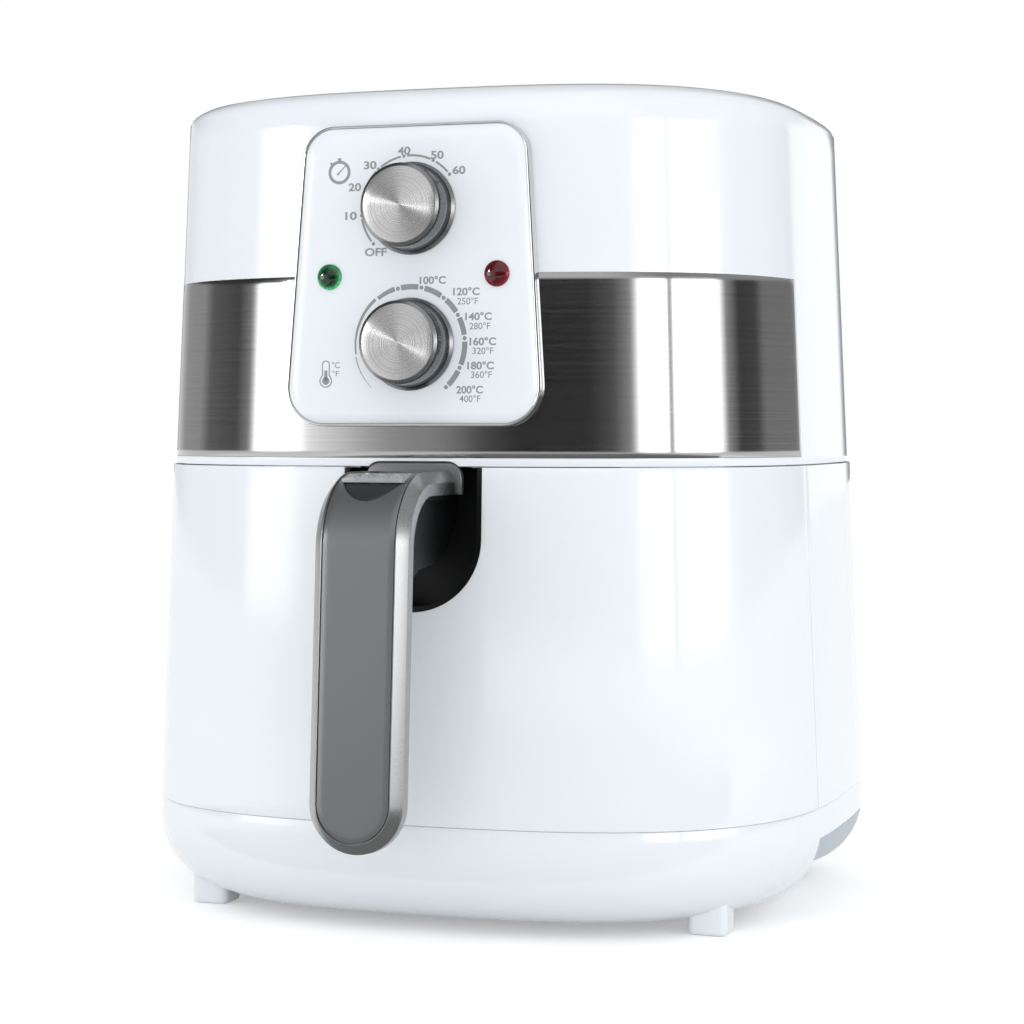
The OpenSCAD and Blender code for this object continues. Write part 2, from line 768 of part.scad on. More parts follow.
module drawer_front() {
    o = lower_out;
    color(white) in_body() difference() {
        union() {
            curved_wall([
                [drawer_low, o - 9], [drawer_low + wall, o - 9], [drawer_low + wall, o - wall],
                [drawer_high - wall, o - wall], [drawer_high - wall, o - 6], [drawer_high, o - 6],
                [drawer_high, o - 0.6], [drawer_high - 0.6, o], [drawer_low + 0.6, o],
                [drawer_low, o - 0.6]
            ], drawer_end_y, false, 48);
            translate([0, 0, deck_low]) linear_extrude(deck_h) difference() {
                polygon(flat(plan_ring(deck_low, o - 1)));
                translate([0, pan_y])
                    polygon(rounded_square(pan_half + 3, pan_half_y + 3, pan_corner + 3));
                translate([-200, -92]) square([400, 400]);
            }
        }
        translate([0, pocket_back_y - 2.2, 0]) rotate([90, 0, 0]) linear_extrude(60)
            polygon(pocket_outline(0.1, 300));
        translate([-pocket_r - 0.1, -150, deck_low - 5]) cube([2 * pocket_r + 0.2, 60, 20]);
    }
}

// Dark tray behind the handle, open at the top so that the basket lifts out
module pocket_liner() {
    depth = 20;
    color(black) in_body() difference() {
        translate([0, pocket_back_y + pocket_wall, 0]) rotate([90, 0, 0]) linear_extrude(depth)
            polygon(pocket_outline(0, drawer_high - 0.4));
        translate([0, pocket_back_y, 0]) rotate([90, 0, 0]) linear_extrude(60)
            polygon(pocket_outline(-pocket_wall, 300));
        on_front(pocket_low) translate([-100, -100, lower_out - 0.6]) cube([200, 200, 60]);
        translate([-bracket_half_w - 1, pocket_back_y - 5, pan_high + 0.5])
            cube([2 * bracket_half_w + 2, 20, 30]);
    }
}

// Ring of the pan at height z, drawn in by inset
function pan_ring(grow, z) =
    lift(rounded_square(pan_half + grow, pan_half_y + grow, pan_corner + grow), z);

pan_t = 1.6;
tab_half_w = 60;

// Non-stick pan that catches the fat, with a flange and a front tab
module pan() {
    color(dark) in_body() {
        translate([0, pan_y, 0]) loft([
            pan_ring(-13, pan_low), pan_ring(-9.4, pan_low + 1.6), pan_ring(-6, pan_low + 7),
            pan_ring(-1.2, pan_high - 6), pan_ring(-1.2, pan_high - 1.8),
            pan_ring(2, pan_high - 1.8), pan_ring(2, pan_high),
            pan_ring(-2.8, pan_high), pan_ring(-6 - pan_t, pan_low + 7.6),
            pan_ring(-14, pan_low + pan_t)
        ]);
        difference() {
            translate([-tab_half_w, pan_front - 9, pan_high - 1.8]) cube([2 * tab_half_w, 12, 1.8]);
            translate([-pocket_r - 0.4, pan_front - 10, pan_high - 3]) cube([2 * pocket_r + 0.8, 7.5, 6]);
        }
    }
}

// Screws that hold the pan's tab up against the drawer front
module pan_screws() {
    color(steel) in_body() for (x = [-46, 46]) translate([x, pan_front - 6, pan_high - 3.4])
        screw(2.6, 1.4, 0);
}

basket_low = 58;
basket_t = 1.4;
basket_high = pan_high + 1.8;
basket_front = pan_front + basket_gap;
slot_pitch = 11;
slot_w = 4;
slot_low = 66;
slot_h = 26;

function basket_ring(grow, z) = pan_ring(grow - basket_gap, z);

// Basket wall: a drawn sleeve with a rolled rim and a seat for the floor
module basket() {
    color("#3B3D3F") in_pan() difference() {
        loft([
            basket_ring(-9, basket_low), basket_ring(-5.6, basket_low + 3),
            basket_ring(-0.8, pan_high - 3), basket_ring(-0.8, pan_high),
            basket_ring(4.6, pan_high), basket_ring(4.6, basket_high),
            basket_ring(-2.2, basket_high), basket_ring(-5.6 - basket_t, basket_low + 3.4),
            basket_ring(-9 - basket_t, basket_low + 1.4)
        ]);
        translate([0, 0, basket_low - 1]) linear_extrude(4) polygon(flat(basket_ring(-14, 0)));
        for (side = [0 : 3]) rotate([0, 0, 90 * side]) for (i = [-5 : 5])
            translate([i * slot_pitch - slot_w / 2, pan_half_y - 36, slot_low]) cube([slot_w, 60, slot_h]);
    }
}

// Perforated plate that lies on the basket's turned-in edge
module basket_floor() {
    count = 7;
    reach = pan_half_y - basket_gap - 17;
    color("#3B3D3F") in_pan() translate([0, 0, basket_low + basket_t]) linear_extrude(1.6)
        difference() {
            polygon(flat(basket_ring(-11.6, 0)));
            for (i = [-count : count]) for (j = [-count : count])
                if (pow(abs(i * hole_pitch) / reach, 6) + pow(abs(j * hole_pitch) / reach, 6) < 1.25)
                    translate([i, j] * hole_pitch) circle(r = 3, $fn = 16);
        }
}

bracket_half_w = 13;
bracket_t = 2;
bracket_front = -134;

// Steel strap from the basket's wall, over its rim, into the handle
module handle_bracket() {
    inner = basket_front + 3.4;
    color(steel) in_body() {
        translate([-bracket_half_w, bracket_front, basket_high])
            cube([2 * bracket_half_w, inner + bracket_t - bracket_front, bracket_t]);
        translate([-bracket_half_w, inner, basket_high - 26])
            cube([2 * bracket_half_w, bracket_t, 26 + eps]);
    }
}

module bracket_screws() {
    color(steel) in_body() for (x = [-7, 7]) translate([x, basket_front + 5 + bracket_t, basket_high - 16])
        rotate([90, 0, 0]) screw(2.6, 1.4, 0);
}

// ---------------------------------------------------------------- handle

arm_back_y = -137;
bend_turn = 90 - grip_lean;
bend_centre = [bend_y, arm_z - bend_r];
bend_length = bend_r * bend_turn * PI / 180;
arm_length = arm_back_y - bend_y;
bend_end = bend_centre + bend_r * [cos(90 + bend_turn), sin(90 + bend_turn)];
grip_length = (bend_end[1] - grip_low) / cos(grip_lean);
path_end = arm_length + bend_length + grip_length;
grip_centre = path_end - handle_half_w;   // centre of the round lower end

// A point of the handle: s along its face from the arm's root, x across, d below the face
function handle_point(s, x, d) =
    s < arm_length ? [x, arm_back_y - s, arm_z - d] :
    s < arm_length + bend_length ?
        let (a = 90 + (s - arm_length) / bend_r * 180 / PI)
        [x, bend_centre[0] + (bend_r - d) * cos(a), bend_centre[1] + (bend_r - d) * sin(a)] :
    let (t = s - arm_length - bend_length, a = 90 + bend_turn)
        [x, bend_end[0] - d * cos(a) - t * sin(grip_lean), bend_end[1] - d * sin(a) - t * cos(grip_lean)];

// Outline of the handle at one depth below its face, drawn in by inset, from s0 to the round end
function handle_ring(inset, depth, s0) =
    let (r = handle_half_w - inset,
         side = concat(
             [[s0, r]],
             [for (i = [0 : 10]) [arm_length + bend_length * i / 10, r]],
             [for (i = [0 : 9]) [grip_centre + r * sin(i * 9.9), r * cos(i * 9.9)]]),
         n = len(side))
    concat([for (p = side) handle_point(p[0], -p[1], depth)],
           [for (i = [n - 1 : -1 : 0]) handle_point(side[i][0], side[i][1], depth)]);

// Solid between outlines of the handle, each given as [inset, depth, start]
module handle_solid(outlines) {
    loft([for (p = outlines) handle_ring(p[0], p[1], p[2])], true);
}

insert_depth = 1.6;
frame_wall = 2.2;
frame_web = 4;
frame_rim = 0.5;                  // flat edge between the bevel and the insert
core_half_w = 15;

button_y = -176.5;
button_r = 12.1;
guard_half_w = 12.4;
guard_front = -182.2;
guard_back = -157.5;
guard_low = 184.6;
guard_t = 2.4;
track_z = guard_low - 0.4;        // floor of the slot the guard slides in
well_low = 168;
button_low = 173;

module button_well(grow, low) {
    translate([0, button_y, low]) cylinder(r = button_r + grow, h = 40);
}

// Straight slot in the top of the arm for the sliding guard
module guard_slot() {
    translate([-guard_half_w - 0.4, -200, track_z])
        cube([2 * guard_half_w + 0.8, 200 + arm_back_y - 3, 20]);
}

// Satin frame: bevelled rim round the handle, with a channel behind it
module handle_frame() {
    color(silver) in_body() difference() {
        handle_solid([
            [frame_wall, frame_web, frame_wall], [frame_wall, handle_t, frame_wall],
            [0, handle_t, 0], [0, handle_bevel, 0], [handle_bevel - frame_rim, 0, 0],
            [handle_bevel, 0, frame_rim], [handle_bevel, insert_depth, frame_rim]
        ]);
        button_well(0.4, 150);
        guard_slot();
        translate([-core_half_w - 0.1, arm_back_y - frame_wall - 0.4, arm_z - 30])
            cube([2 * core_half_w + 0.2, 10, 30 - frame_web + 0.1]);
    }
}

// Darker face plate let into the frame
module handle_insert() {
    inset = handle_bevel + 0.15;
    start = frame_rim + 0.1;
    color(satin) in_body() difference() {
        handle_solid([[inset, insert_depth - 0.05, start], [inset, 0.25, start]]);
        button_well(0.4, 150);
        guard_slot();
    }
}

// Raised root of the arm that fills the notch in the upper housing
module handle_root() {
    half = notch_half_w - 0.5;
    root_t = 2.6;
    color(satin) in_body() translate([0, arm_back_y + root_t + 0.1, 0]) rotate([90, 0, 0])
        linear_extrude(root_t) difference() {
            root_outline(half, notch_high - 0.4, 6);
            translate([-50, 0]) square([100, arm_z - handle_t - 1]);
            translate([-core_half_w - 0.1, 0]) square([2 * core_half_w + 0.2, arm_z - frame_web]);
        }
}

gusset_centre = [-158.4, 186];
gusset_r = 34.2;
gusset_low = 148;

// Black inner moulding: the back of the grip, and the rounded web under the arm
module handle_core() {
    inner = frame_wall + 0.1;
    color(black) in_body() difference() {
        union() {
            handle_solid([[inner, handle_t + 2.2, inner], [inner, frame_web + 0.1, inner]]);
            translate([-core_half_w, 0, 0]) rotate([90, 0, 90]) linear_extrude(2 * core_half_w)
                polygon(concat(
                    [[gusset_centre[0] - 34, gusset_low - 6],
                     [gusset_centre[0] - 12, gusset_centre[1] - gusset_r - 1]],
                    [for (a = [-90 : 9 : -9]) gusset_centre + gusset_r * [cos(a), sin(a)]],
                    [[gusset_centre[0] + gusset_r, arm_z - frame_web - 0.1]],
                    [for (a = [90 : 10 : 90 + bend_turn])
                        bend_centre + (bend_r - frame_web - 0.1) * [cos(a), sin(a)]],
                    [[bend_end[0] + frame_web + 0.1, gusset_low]]
                ));
        }
        button_well(0.4, well_low);
        translate([-bracket_half_w - 0.1, bracket_front - 0.1, basket_high])
            cube([2 * bracket_half_w + 0.2, 40, bracket_t]);
    }
}

// Thumb button on the shoulder of the handle
module release_button() {
    color(dark) in_body() difference() {
        intersection() {
            translate([0, button_y, button_low]) cylinder(r = button_r, h = track_z - 0.2 - button_low);
            handle_solid([[-4, bend_r - 4, 0], [-4, 0.3, 0]]);
        }
        translate([0, button_y, button_low - 1]) cylinder(r = 5.4, h = 4);
    }
}

// Return spring under the button
module button_spring() {
    turns = 3.5;
    r = 4;
    wire = 0.45;
    low = well_low + wire;
    rise = button_low + 3 - wire - low;
    steps = 12 * turns;
    color(steel) in_body() translate([0, button_y, 0]) loft([for (i = [0 : steps])
        let (a = 30 * i)
        [for (k = [4 : -1 : 0]) let (q = r + wire * cos(72 * k))
            [q * cos(a), q * sin(a), low + rise * i / steps + wire * sin(72 * k)]]]);
}

// Clear sliding guard with cross ribs for the thumb
module button_guard() {
    length = guard_back - guard_front;
    color([0.85, 0.88, 0.9, 0.5]) in_body() translate([0, guard_front, guard_low]) {
        translate([-guard_half_w, 0, 0]) cube([2 * guard_half_w, length, guard_t]);
        for (x = [-9 : 6 : 9]) translate([x - 1.1, 0, guard_t - eps]) cube([2.2, length, 0.9]);
    }
}

base_housing();
chamber_floor();
rear_housing();
upper_housing();
steel_band();
control_panel();
panel_trim();
power_lens();
heat_lens();
lamp_board();
timer_unit();
thermostat_unit();
thermostat_bulb();
chamber_liner();
chamber_top();
reflector_dome();
heating_element();
element_guard();
fan_motor();
motor_bracket();
fan_impeller();
cooling_fan();
motor_shaft();
rear_vent();
cord_gland();
front_feet();
rear_feet();
base_screws();
drawer_switch();
timer_knob();
timer_face();
timer_spindle();
temperature_knob();
temperature_face();
temperature_spindle();
drawer_front();
pocket_liner();
pan();
pan_screws();
basket();
basket_floor();
handle_bracket();
bracket_screws();
handle_core();
handle_frame();
handle_insert();
handle_root();
release_button();
button_spring();
button_guard();
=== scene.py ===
# %% [markdown]
# # A white hot-air fryer
#
# The fryer is a tall rounded body of glossy white plastic. A brushed steel band runs round its
# front, a flat panel with two dials stands in front of the band, and the lower front is a drawer
# with a curved handle. The solids come from the CAD frame. This lesson gives them smooth skins,
# finishes, prints and light. Everything is made in millimetres and turned to metres at the end
# of each piece, in the same place as the solid that it stands for.

# %% Read the frame
import json
from math import acos, atan, atan2, cos, degrees, hypot, pi, radians, sin, sqrt, tau

import bmesh
import bpy
from mathutils import Matrix, Vector


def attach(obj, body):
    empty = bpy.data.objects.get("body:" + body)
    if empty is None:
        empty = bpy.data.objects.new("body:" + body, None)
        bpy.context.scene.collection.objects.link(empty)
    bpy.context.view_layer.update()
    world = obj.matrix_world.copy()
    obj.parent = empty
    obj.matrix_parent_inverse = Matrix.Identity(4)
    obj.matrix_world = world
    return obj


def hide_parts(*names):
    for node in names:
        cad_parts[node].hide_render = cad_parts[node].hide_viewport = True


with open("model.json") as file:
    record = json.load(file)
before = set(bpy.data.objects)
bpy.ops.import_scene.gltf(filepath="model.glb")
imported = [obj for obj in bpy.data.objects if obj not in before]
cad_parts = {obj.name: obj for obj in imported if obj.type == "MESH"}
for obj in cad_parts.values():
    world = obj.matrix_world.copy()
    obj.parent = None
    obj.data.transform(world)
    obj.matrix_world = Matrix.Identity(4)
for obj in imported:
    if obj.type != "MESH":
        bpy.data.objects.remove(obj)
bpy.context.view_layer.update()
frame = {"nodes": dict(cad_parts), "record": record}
nodes = frame["nodes"]
scene = bpy.context.scene

# %% [markdown]
# ## Camera
#
# A product shot of a small appliance is taken with a long lens from a little above the middle,
# so upright lines stay nearly upright. An 89 mm lens on a 36 mm sensor, a metre away, does that.
# The camera stands 18 degrees to the right of the front and looks down by two degrees.

# %% Camera
camera_data = bpy.data.cameras.new("camera")
camera_data.lens = 88.92
camera_data.sensor_width = 36
camera = bpy.data.objects.new("camera", camera_data)
camera.location = (0.35556, -1.04995, 0.20741)
camera.rotation_euler = (pi / 2 - 0.0352, 0, 0.3203)
scene.collection.objects.link(camera)
scene.camera = camera
scene.view_settings.view_transform = "Standard"
print("camera at", tuple(round(c, 3) for c in camera.location))

# %% [markdown]
# ## Colours and shader nodes
#
# Colours are written as the hex values that a paint or colour card gives, and one function turns
# them to the linear values that Blender's shaders take. A second function adds any shader node
# with its settings and its links, so that each material below reads as a short recipe.

# %% Two small helpers for materials
def linear(hex_colour):
    """An sRGB hex colour as linear red, green, blue and a full alpha."""
    parts = [int(hex_colour[i:i + 2], 16) / 255 for i in (1, 3, 5)]
    return (*[c / 12.92 if c <= 0.04045 else ((c + 0.055) / 1.055) ** 2.4 for c in parts], 1)


def add(tree, kind, links, **settings):
    """Adds a node; a link's value is a socket to join or a constant to set."""
    made = tree.nodes.new("ShaderNode" + kind)
    for name, value in settings.items():
        setattr(made, name, value)
    for name, value in links.items():
        if isinstance(value, bpy.types.NodeSocket):
            tree.links.new(value, made.inputs[name])
        else:
            made.inputs[name].default_value = value
    return made


def material(name, **sockets):
    """A new material: its node tree and its Principled shader with constants set."""
    made = bpy.data.materials.new(name)
    made.use_nodes = True
    tree = made.node_tree
    tree.nodes.clear()
    shader = add(tree, "BsdfPrincipled", {key.replace("_", " "): v for key, v in sockets.items()})
    add(tree, "OutputMaterial", {"Surface": shader.outputs[0]})
    return made, tree, shader


MM = 0.001
print("linear white:", linear("#EDF1F4"))

# %% [markdown]
# ## Light, floor and backdrop
#
# A white room lights the fryer evenly, and five weak soft boxes give it a little direction.
# Glossy plastic and steel show what stands around them, so reflections see a studio wall: two
# tall white windows at the sides, a dark wall between them, and grey corners. The wall is a row
# of (azimuth, brightness) places, where azimuth 0 is straight ahead of the fryer and 90 is to
# its right. Above the wall lies a dimmer ceiling, brightest ahead. A small spot on the left
# gives turned metal its thin line, and a dark sheet lies on the floor in front.

# %% Studio wall, seen in reflections only
WALL = [(-180, 0.05), (-149, 0.05), (-144, 0.8), (-122, 0.48), (-98, 0.5), (-88, 0.2), (-66, 0.11),
        (-58, 0.4), (-53, 4.2), (-41, 4.2), (-35.5, 1.7), (-27, 1.1), (-21, 0.48), (-15, 0.1),
        (-8, 0.01), (14, 0.02), (24, 0.12), (33, 0.5), (39, 4.2), (52, 4.2), (53, 0.35),
        (55.5, 0.35), (56.5, 4.2), (84, 4.2), (93, 0.5), (103, 0.07), (117, 0.1), (124, 0.32),
        (150, 0.3), (154, 1.25), (174, 1.25), (178, 0.1)]
CEILING = [(-180, 0.1), (-32, 0.05), (-22, 0.95), (20, 0.9), (50, 0.45), (65, 0.45), (170, 0.6),
           (180, 0.1)]
BRIGHTEST = 4.2
WALL_TOP = (0.17, 0.26)      # sines of the elevations where wall turns to ceiling
ROOM_LEVEL = 0.85            # the room's own light on the object
world = bpy.data.worlds.new("white_room")
scene.world = world
world.use_nodes = True
tree = world.node_tree
tree.nodes.clear()
facing = add(tree, "SeparateXYZ", {0: add(tree, "TexCoord", {}).outputs["Generated"]})
ahead = add(tree, "Math", {0: facing.outputs["Y"], 1: -1.0}, operation="MULTIPLY")
azimuth = add(tree, "Math", {0: facing.outputs["X"], 1: ahead.outputs[0]}, operation="ARCTAN2")
place = add(tree, "MapRange", {"Value": azimuth.outputs[0], "From Min": -pi, "From Max": pi})


def round_the_room(levels):
    """Brightness by azimuth; the ramp runs from -180 to 180 degrees."""
    ramp = add(tree, "ValToRGB", {"Fac": place.outputs[0]})
    stops = ramp.color_ramp.elements
    stops[0].color = (*[levels[0][1] / BRIGHTEST] * 3, 1)
    stops.remove(stops[1])
    for degree, level in levels[1:]:
        stops.new((degree + 180) / 360).color = (*[level / BRIGHTEST] * 3, 1)
    return ramp.outputs[0]


height = add(tree, "MapRange", {"Value": facing.outputs["Z"], "From Min": WALL_TOP[0],
                                "From Max": WALL_TOP[1]}, interpolation_type="SMOOTHSTEP")
studio = add(tree, "Mix", {0: height.outputs[0], 6: round_the_room(WALL),
                           7: round_the_room(CEILING)}, data_type="RGBA")
reflected = add(tree, "Background", {"Color": studio.outputs[2], "Strength": BRIGHTEST})
path = add(tree, "LightPath", {})
clear = add(tree, "Math", {0: path.outputs["Is Camera Ray"],
                           1: path.outputs["Is Transmission Ray"]}, operation="MAXIMUM")
strength = add(tree, "MapRange", {"Value": clear.outputs[0], "To Min": ROOM_LEVEL, "To Max": 1.0})
plain = add(tree, "Background", {"Color": (1, 1, 1, 1), "Strength": strength.outputs[0]})
room = add(tree, "MixShader", {0: path.outputs["Is Glossy Ray"], 1: plain.outputs[0],
                               2: reflected.outputs[0]})
add(tree, "OutputWorld", {"Surface": room.outputs[0]})
print("wall places:", len(WALL), "ceiling places:", len(CEILING))

# %% Soft boxes
BODY_MIDDLE = Vector((0, 0.0334, 0.18))


def soft_box(name, azimuth, distance, height, width, tall, watts):
    light = bpy.data.lights.new(name, "AREA")
    light.shape = "RECTANGLE"
    light.size, light.size_y, light.energy = width, tall, watts
    lamp = bpy.data.objects.new(name, light)
    a = radians(azimuth)
    lamp.location = BODY_MIDDLE + Vector((distance * sin(a), -distance * cos(a), height))
    lamp.rotation_euler = (BODY_MIDDLE - lamp.location).to_track_quat("-Z", "Y").to_euler()
    lamp.visible_glossy = False
    scene.collection.objects.link(lamp)


soft_box("left_box", -60, 1.5, 0.3, 0.7, 1.5, 2.8)
soft_box("right_box", 75, 1.5, 0.3, 0.9, 1.5, 3.2)
soft_box("front_box", 10, 1.6, -0.05, 1.4, 0.9, 7.6)
soft_box("low_box", 95, 1.2, -0.13, 0.8, 0.25, 1.3)
soft_box("top_box", 0, 0.9, 1.5, 1.2, 1.2, 1.6)

# %% Small spot and dark sheet
def stage_sheet(name, bm, paint):
    """A flat thing of the studio, which is no part of the fryer."""
    mesh = bpy.data.meshes.new(name)
    bm.to_mesh(mesh)
    bm.free()
    mesh.materials.append(paint)
    made = bpy.data.objects.new(name, mesh)
    scene.collection.objects.link(made)
    return made


def reflected_card(name, corners, level):
    """A flat card that only reflections see."""
    bm = bmesh.new()
    bm.faces.new([bm.verts.new(c) for c in corners])
    glow = material(name, Base_Color=(0, 0, 0, 1), Roughness=1.0, Specular_IOR_Level=0.0,
                    Emission_Color=(1, 1, 1, 1), Emission_Strength=level)[0]
    card = stage_sheet(name, bm, glow)
    card.visible_camera = card.visible_diffuse = card.visible_shadow = False
    card.visible_transmission = False


def on_wall(degree, height, distance=1.9):
    a = radians(degree)
    return BODY_MIDDLE + Vector((distance * sin(a), -distance * cos(a), height))


reflected_card("spot", [on_wall(-42, 0.47), on_wall(-40.5, 0.47), on_wall(-40.5, 0.52),
                        on_wall(-42, 0.52)], 420)
reflected_card("dark_sheet", [(-0.3, -0.12, 0.004), (1.2, -0.12, 0.004), (1.6, -2.2, 0.004),
                              (-0.5, -2.2, 0.004)], 0.28)
print("cards: spot, dark_sheet")

# %% Floor
PAPER_LIFT = 0.30            # the paper's own glow, for the camera and in reflections
bm = bmesh.new()
bmesh.ops.create_grid(bm, x_segments=2, y_segments=2, size=14)
paper, tree, shader = material("matt_white_paper", Base_Color=linear("#F2F2F2"), Roughness=0.9,
                               Specular_IOR_Level=0.1)
path = add(tree, "LightPath", {})
seen = add(tree, "Math", {0: path.outputs["Is Camera Ray"], 1: path.outputs["Is Glossy Ray"]},
           operation="MAXIMUM")
lift = add(tree, "Math", {0: seen.outputs[0], 1: PAPER_LIFT}, operation="MULTIPLY")
shader.inputs["Emission Color"].default_value = (1, 1, 1, 1)
tree.links.new(lift.outputs[0], shader.inputs["Emission Strength"])
stage_sheet("floor", bm, paper)

# %% [markdown]
# ## Finishes
#
# Most finishes are one base surface with fine irregularity: the gloss and the tone change a
# little from place to place, and the surface has a shallow relief. One recipe makes these from a
# noise whose grain is given in millimetres. Depth is the height of the relief, spread is how far
# the tone wanders, and stretch draws the grain out along x, y or z, as brushing does.

# %% The recipe for a grained finish
def patterned(tree, shader, pattern, tones, rough, depth):
    """Lets a pattern drive the tone, the roughness and a relief depth millimetres high."""
    tone = add(tree, "Mix", {0: pattern, 6: tones[0], 7: tones[1]}, data_type="RGBA")
    tree.links.new(tone.outputs[2], shader.inputs["Base Color"])
    gloss = add(tree, "MapRange", {"Value": pattern, "From Min": 0.3, "From Max": 0.7,
                                   "To Min": rough[0], "To Max": rough[1]})
    tree.links.new(gloss.outputs[0], shader.inputs["Roughness"])
    relief = add(tree, "Bump", {"Height": pattern, "Distance": depth * MM, "Strength": 1.0})
    tree.links.new(relief.outputs[0], shader.inputs["Normal"])


def grained(name, colour, roughness, grain, depth, spread=0.05, stretch=(1, 1, 1), **sockets):
    made, tree, shader = material(name, **sockets)
    where = add(tree, "TexCoord", {}).outputs["Object"]
    size = [1 / (grain * MM * s) for s in stretch]
    where = add(tree, "Mapping", {"Vector": where, "Scale": size})
    noise = add(tree, "TexNoise", {"Vector": where.outputs[0], "Scale": 1.0, "Detail": 3.0,
                                   "Roughness": 0.6}).outputs["Fac"]
    base = linear(colour)
    darker = (*[c * (1 - spread) for c in base[:3]], 1)
    lighter = (*[min(1, c * (1 + spread)) for c in base[:3]], 1)
    patterned(tree, shader, noise, (darker, lighter), (roughness * 0.85, roughness * 1.15), depth)
    return made


finishes = {}

# %% [markdown]
# ### Plastics
#
# The body is injection-moulded ABS from a polished tool: cool white, a clear gloss, and a very
# slight waviness that only shows in the reflections. Hidden and black mouldings come from a
# spark-eroded tool, which leaves a fine even grain and a satin sheen.

# %% Plastics
finishes["white_housing"] = grained("polished_white_abs", "#E5EBF0", 0.08, 14, 0.004, 0.006,
                                    IOR=1.56)
finishes["dark_plastic"] = grained("satin_dark_pbt", "#232527", 0.42, 0.8, 0.02, 0.12)
finishes["black_plastic"] = grained("satin_black_pbt", "#08090A", 0.42, 0.9, 0.015, 0.15,
                                     Specular_IOR_Level=0.3)
finishes["button_plastic"] = grained("satin_black_abs", "#2E3032", 0.32, 0.9, 0.012, 0.1)
finishes["black_rubber"] = grained("moulded_rubber", "#18191A", 0.7, 1.2, 0.03, 0.15)
finishes["white_fan"] = grained("natural_nylon", "#D9D8D2", 0.5, 2.0, 0.02, 0.05)
finishes["ceramic_switch"] = grained("steatite_ceramic", "#D6CDB8", 0.75, 0.7, 0.03, 0.06)
finishes["circuit_board"] = grained("solder_mask", "#1D5A35", 0.35, 1.5, 0.03, 0.2)
print("plastics:", len(finishes))

# %% [markdown]
# ### Metals
#
# Bare metal keeps the default IOR and gets its look from colour and roughness. Zinc-plated sheet
# shows soft crystals, pressed aluminium is finely rubbed, and the sheathed rod of the element is
# dark with oxide. The painted handle has fine metal flakes, drawn coarser than they are because
# the real ones, a tenth of a millimetre, would vanish in the picture.

# %% Metals
finishes["zinc_steel"] = grained("zinc_plated_sheet", "#A7AAAC", 0.36, 7, 0.02, 0.08, Metallic=1.0)
finishes["plated_steel"] = grained("bright_zinc_plate", "#B4B6B7", 0.26, 2.5, 0.01, 0.06,
                                   Metallic=1.0)
finishes["bright_aluminium"] = grained("pressed_aluminium", "#C9CBCC", 0.30, 1.5, 0.01, 0.06,
                                       (3, 3, 0.4), Metallic=1.0)
finishes["heating_rod"] = grained("oxidised_sheath", "#3B3A3A", 0.58, 3, 0.04, 0.3, Metallic=0.6)
finishes["copper_bulb"] = grained("dull_copper", "#A8674A", 0.4, 2, 0.02, 0.15, Metallic=1.0)
finishes["motor_casing"] = grained("painted_steel", "#6B6E71", 0.45, 1.2, 0.02, 0.06)
finishes["panel_trim_metal"] = grained("polished_chrome", "#D2D4D6", 0.09, 5, 0.002, 0.01,
                                       Metallic=1.0)
finishes["silver_paint"] = grained("silver_satin_paint", "#A9AAAB", 0.3, 0.35, 0.006, 0.05,
                                   Metallic=1.0)
finishes["gunmetal_paint"] = grained("gunmetal_satin_paint", "#7C7D7E", 0.36, 0.45, 0.008, 0.07,
                                     Metallic=0.65)
finishes["nonstick"] = grained("ptfe_coating", "#2A2B2D", 0.36, 0.9, 0.02, 0.25, Metallic=0.1)
print("grained finishes:", len(finishes))

# %% [markdown]
# ### Brushed band
#
# The band is stainless strip brushed along its length. Each scratch is a few hundredths of a
# millimetre wide and some centimetres long; here the scratches are drawn a third of a millimetre
# wide, the finest that still shows. Brushing spreads a reflection across the scratches and
# leaves it sharp along them, so the upright soft boxes stay crisp-edged bars. That is anisotropy.

# %% Brushed stainless
made, tree, shader = material("brushed_stainless", Metallic=1.0, Anisotropic=0.7,
                              Anisotropic_Rotation=0.25)
where = add(tree, "TexCoord", {}).outputs["Object"]
long_grain = add(tree, "Mapping", {"Vector": where, "Scale": (9, 9, 1 / (0.3 * MM))})
scratch = add(tree, "TexNoise", {"Vector": long_grain.outputs[0], "Scale": 1.0, "Detail": 4.0,
                                 "Roughness": 0.7}).outputs["Fac"]
patterned(tree, shader, scratch, (linear("#9C9C9C"), linear("#BFBFBF")), (0.09, 0.13), 0.004)
tangent = add(tree, "Tangent", {}, direction_type="RADIAL", axis="Z")
tree.links.new(tangent.outputs[0], shader.inputs["Tangent"])
finishes["brushed_band"] = made
print("scratches drawn 0.3 mm wide")

# %% [markdown]
# ### Spun dial faces
#
# A dial's face is an aluminium disc turned on a lathe, so its scratches are circles round the
# knob's own axis. The reflection spreads across them, outwards from the middle, which gives the
# bow-tie of bright wedges that every turned disc shows. The distance from the axis drives the
# rings, and the tangent runs round the axis.

# %% Spun aluminium
def spun(name, centre):
    made, tree, shader = material(name, Metallic=1.0, Anisotropic=0.92, Anisotropic_Rotation=0.25)
    where = add(tree, "TexCoord", {}).outputs["Object"]
    centred = add(tree, "Mapping", {"Vector": where, "Location": [-c * MM for c in centre]})
    flat = add(tree, "VectorMath", {0: centred.outputs[0], 1: (1, 0, 1)}, operation="MULTIPLY")
    radius = add(tree, "VectorMath", {0: flat.outputs[0]}, operation="LENGTH").outputs["Value"]
    rings = add(tree, "TexNoise", {"W": radius, "Scale": 1 / (0.45 * MM), "Detail": 3.0},
                noise_dimensions="1D").outputs["Fac"]
    patterned(tree, shader, rings, (linear("#B2B2B2"), linear("#E8E8E8")), (0.2, 0.26), 0.012)
    tangent = add(tree, "Tangent", {}, direction_type="RADIAL", axis="Y")
    tree.links.new(tangent.outputs[0], shader.inputs["Tangent"])
    return made


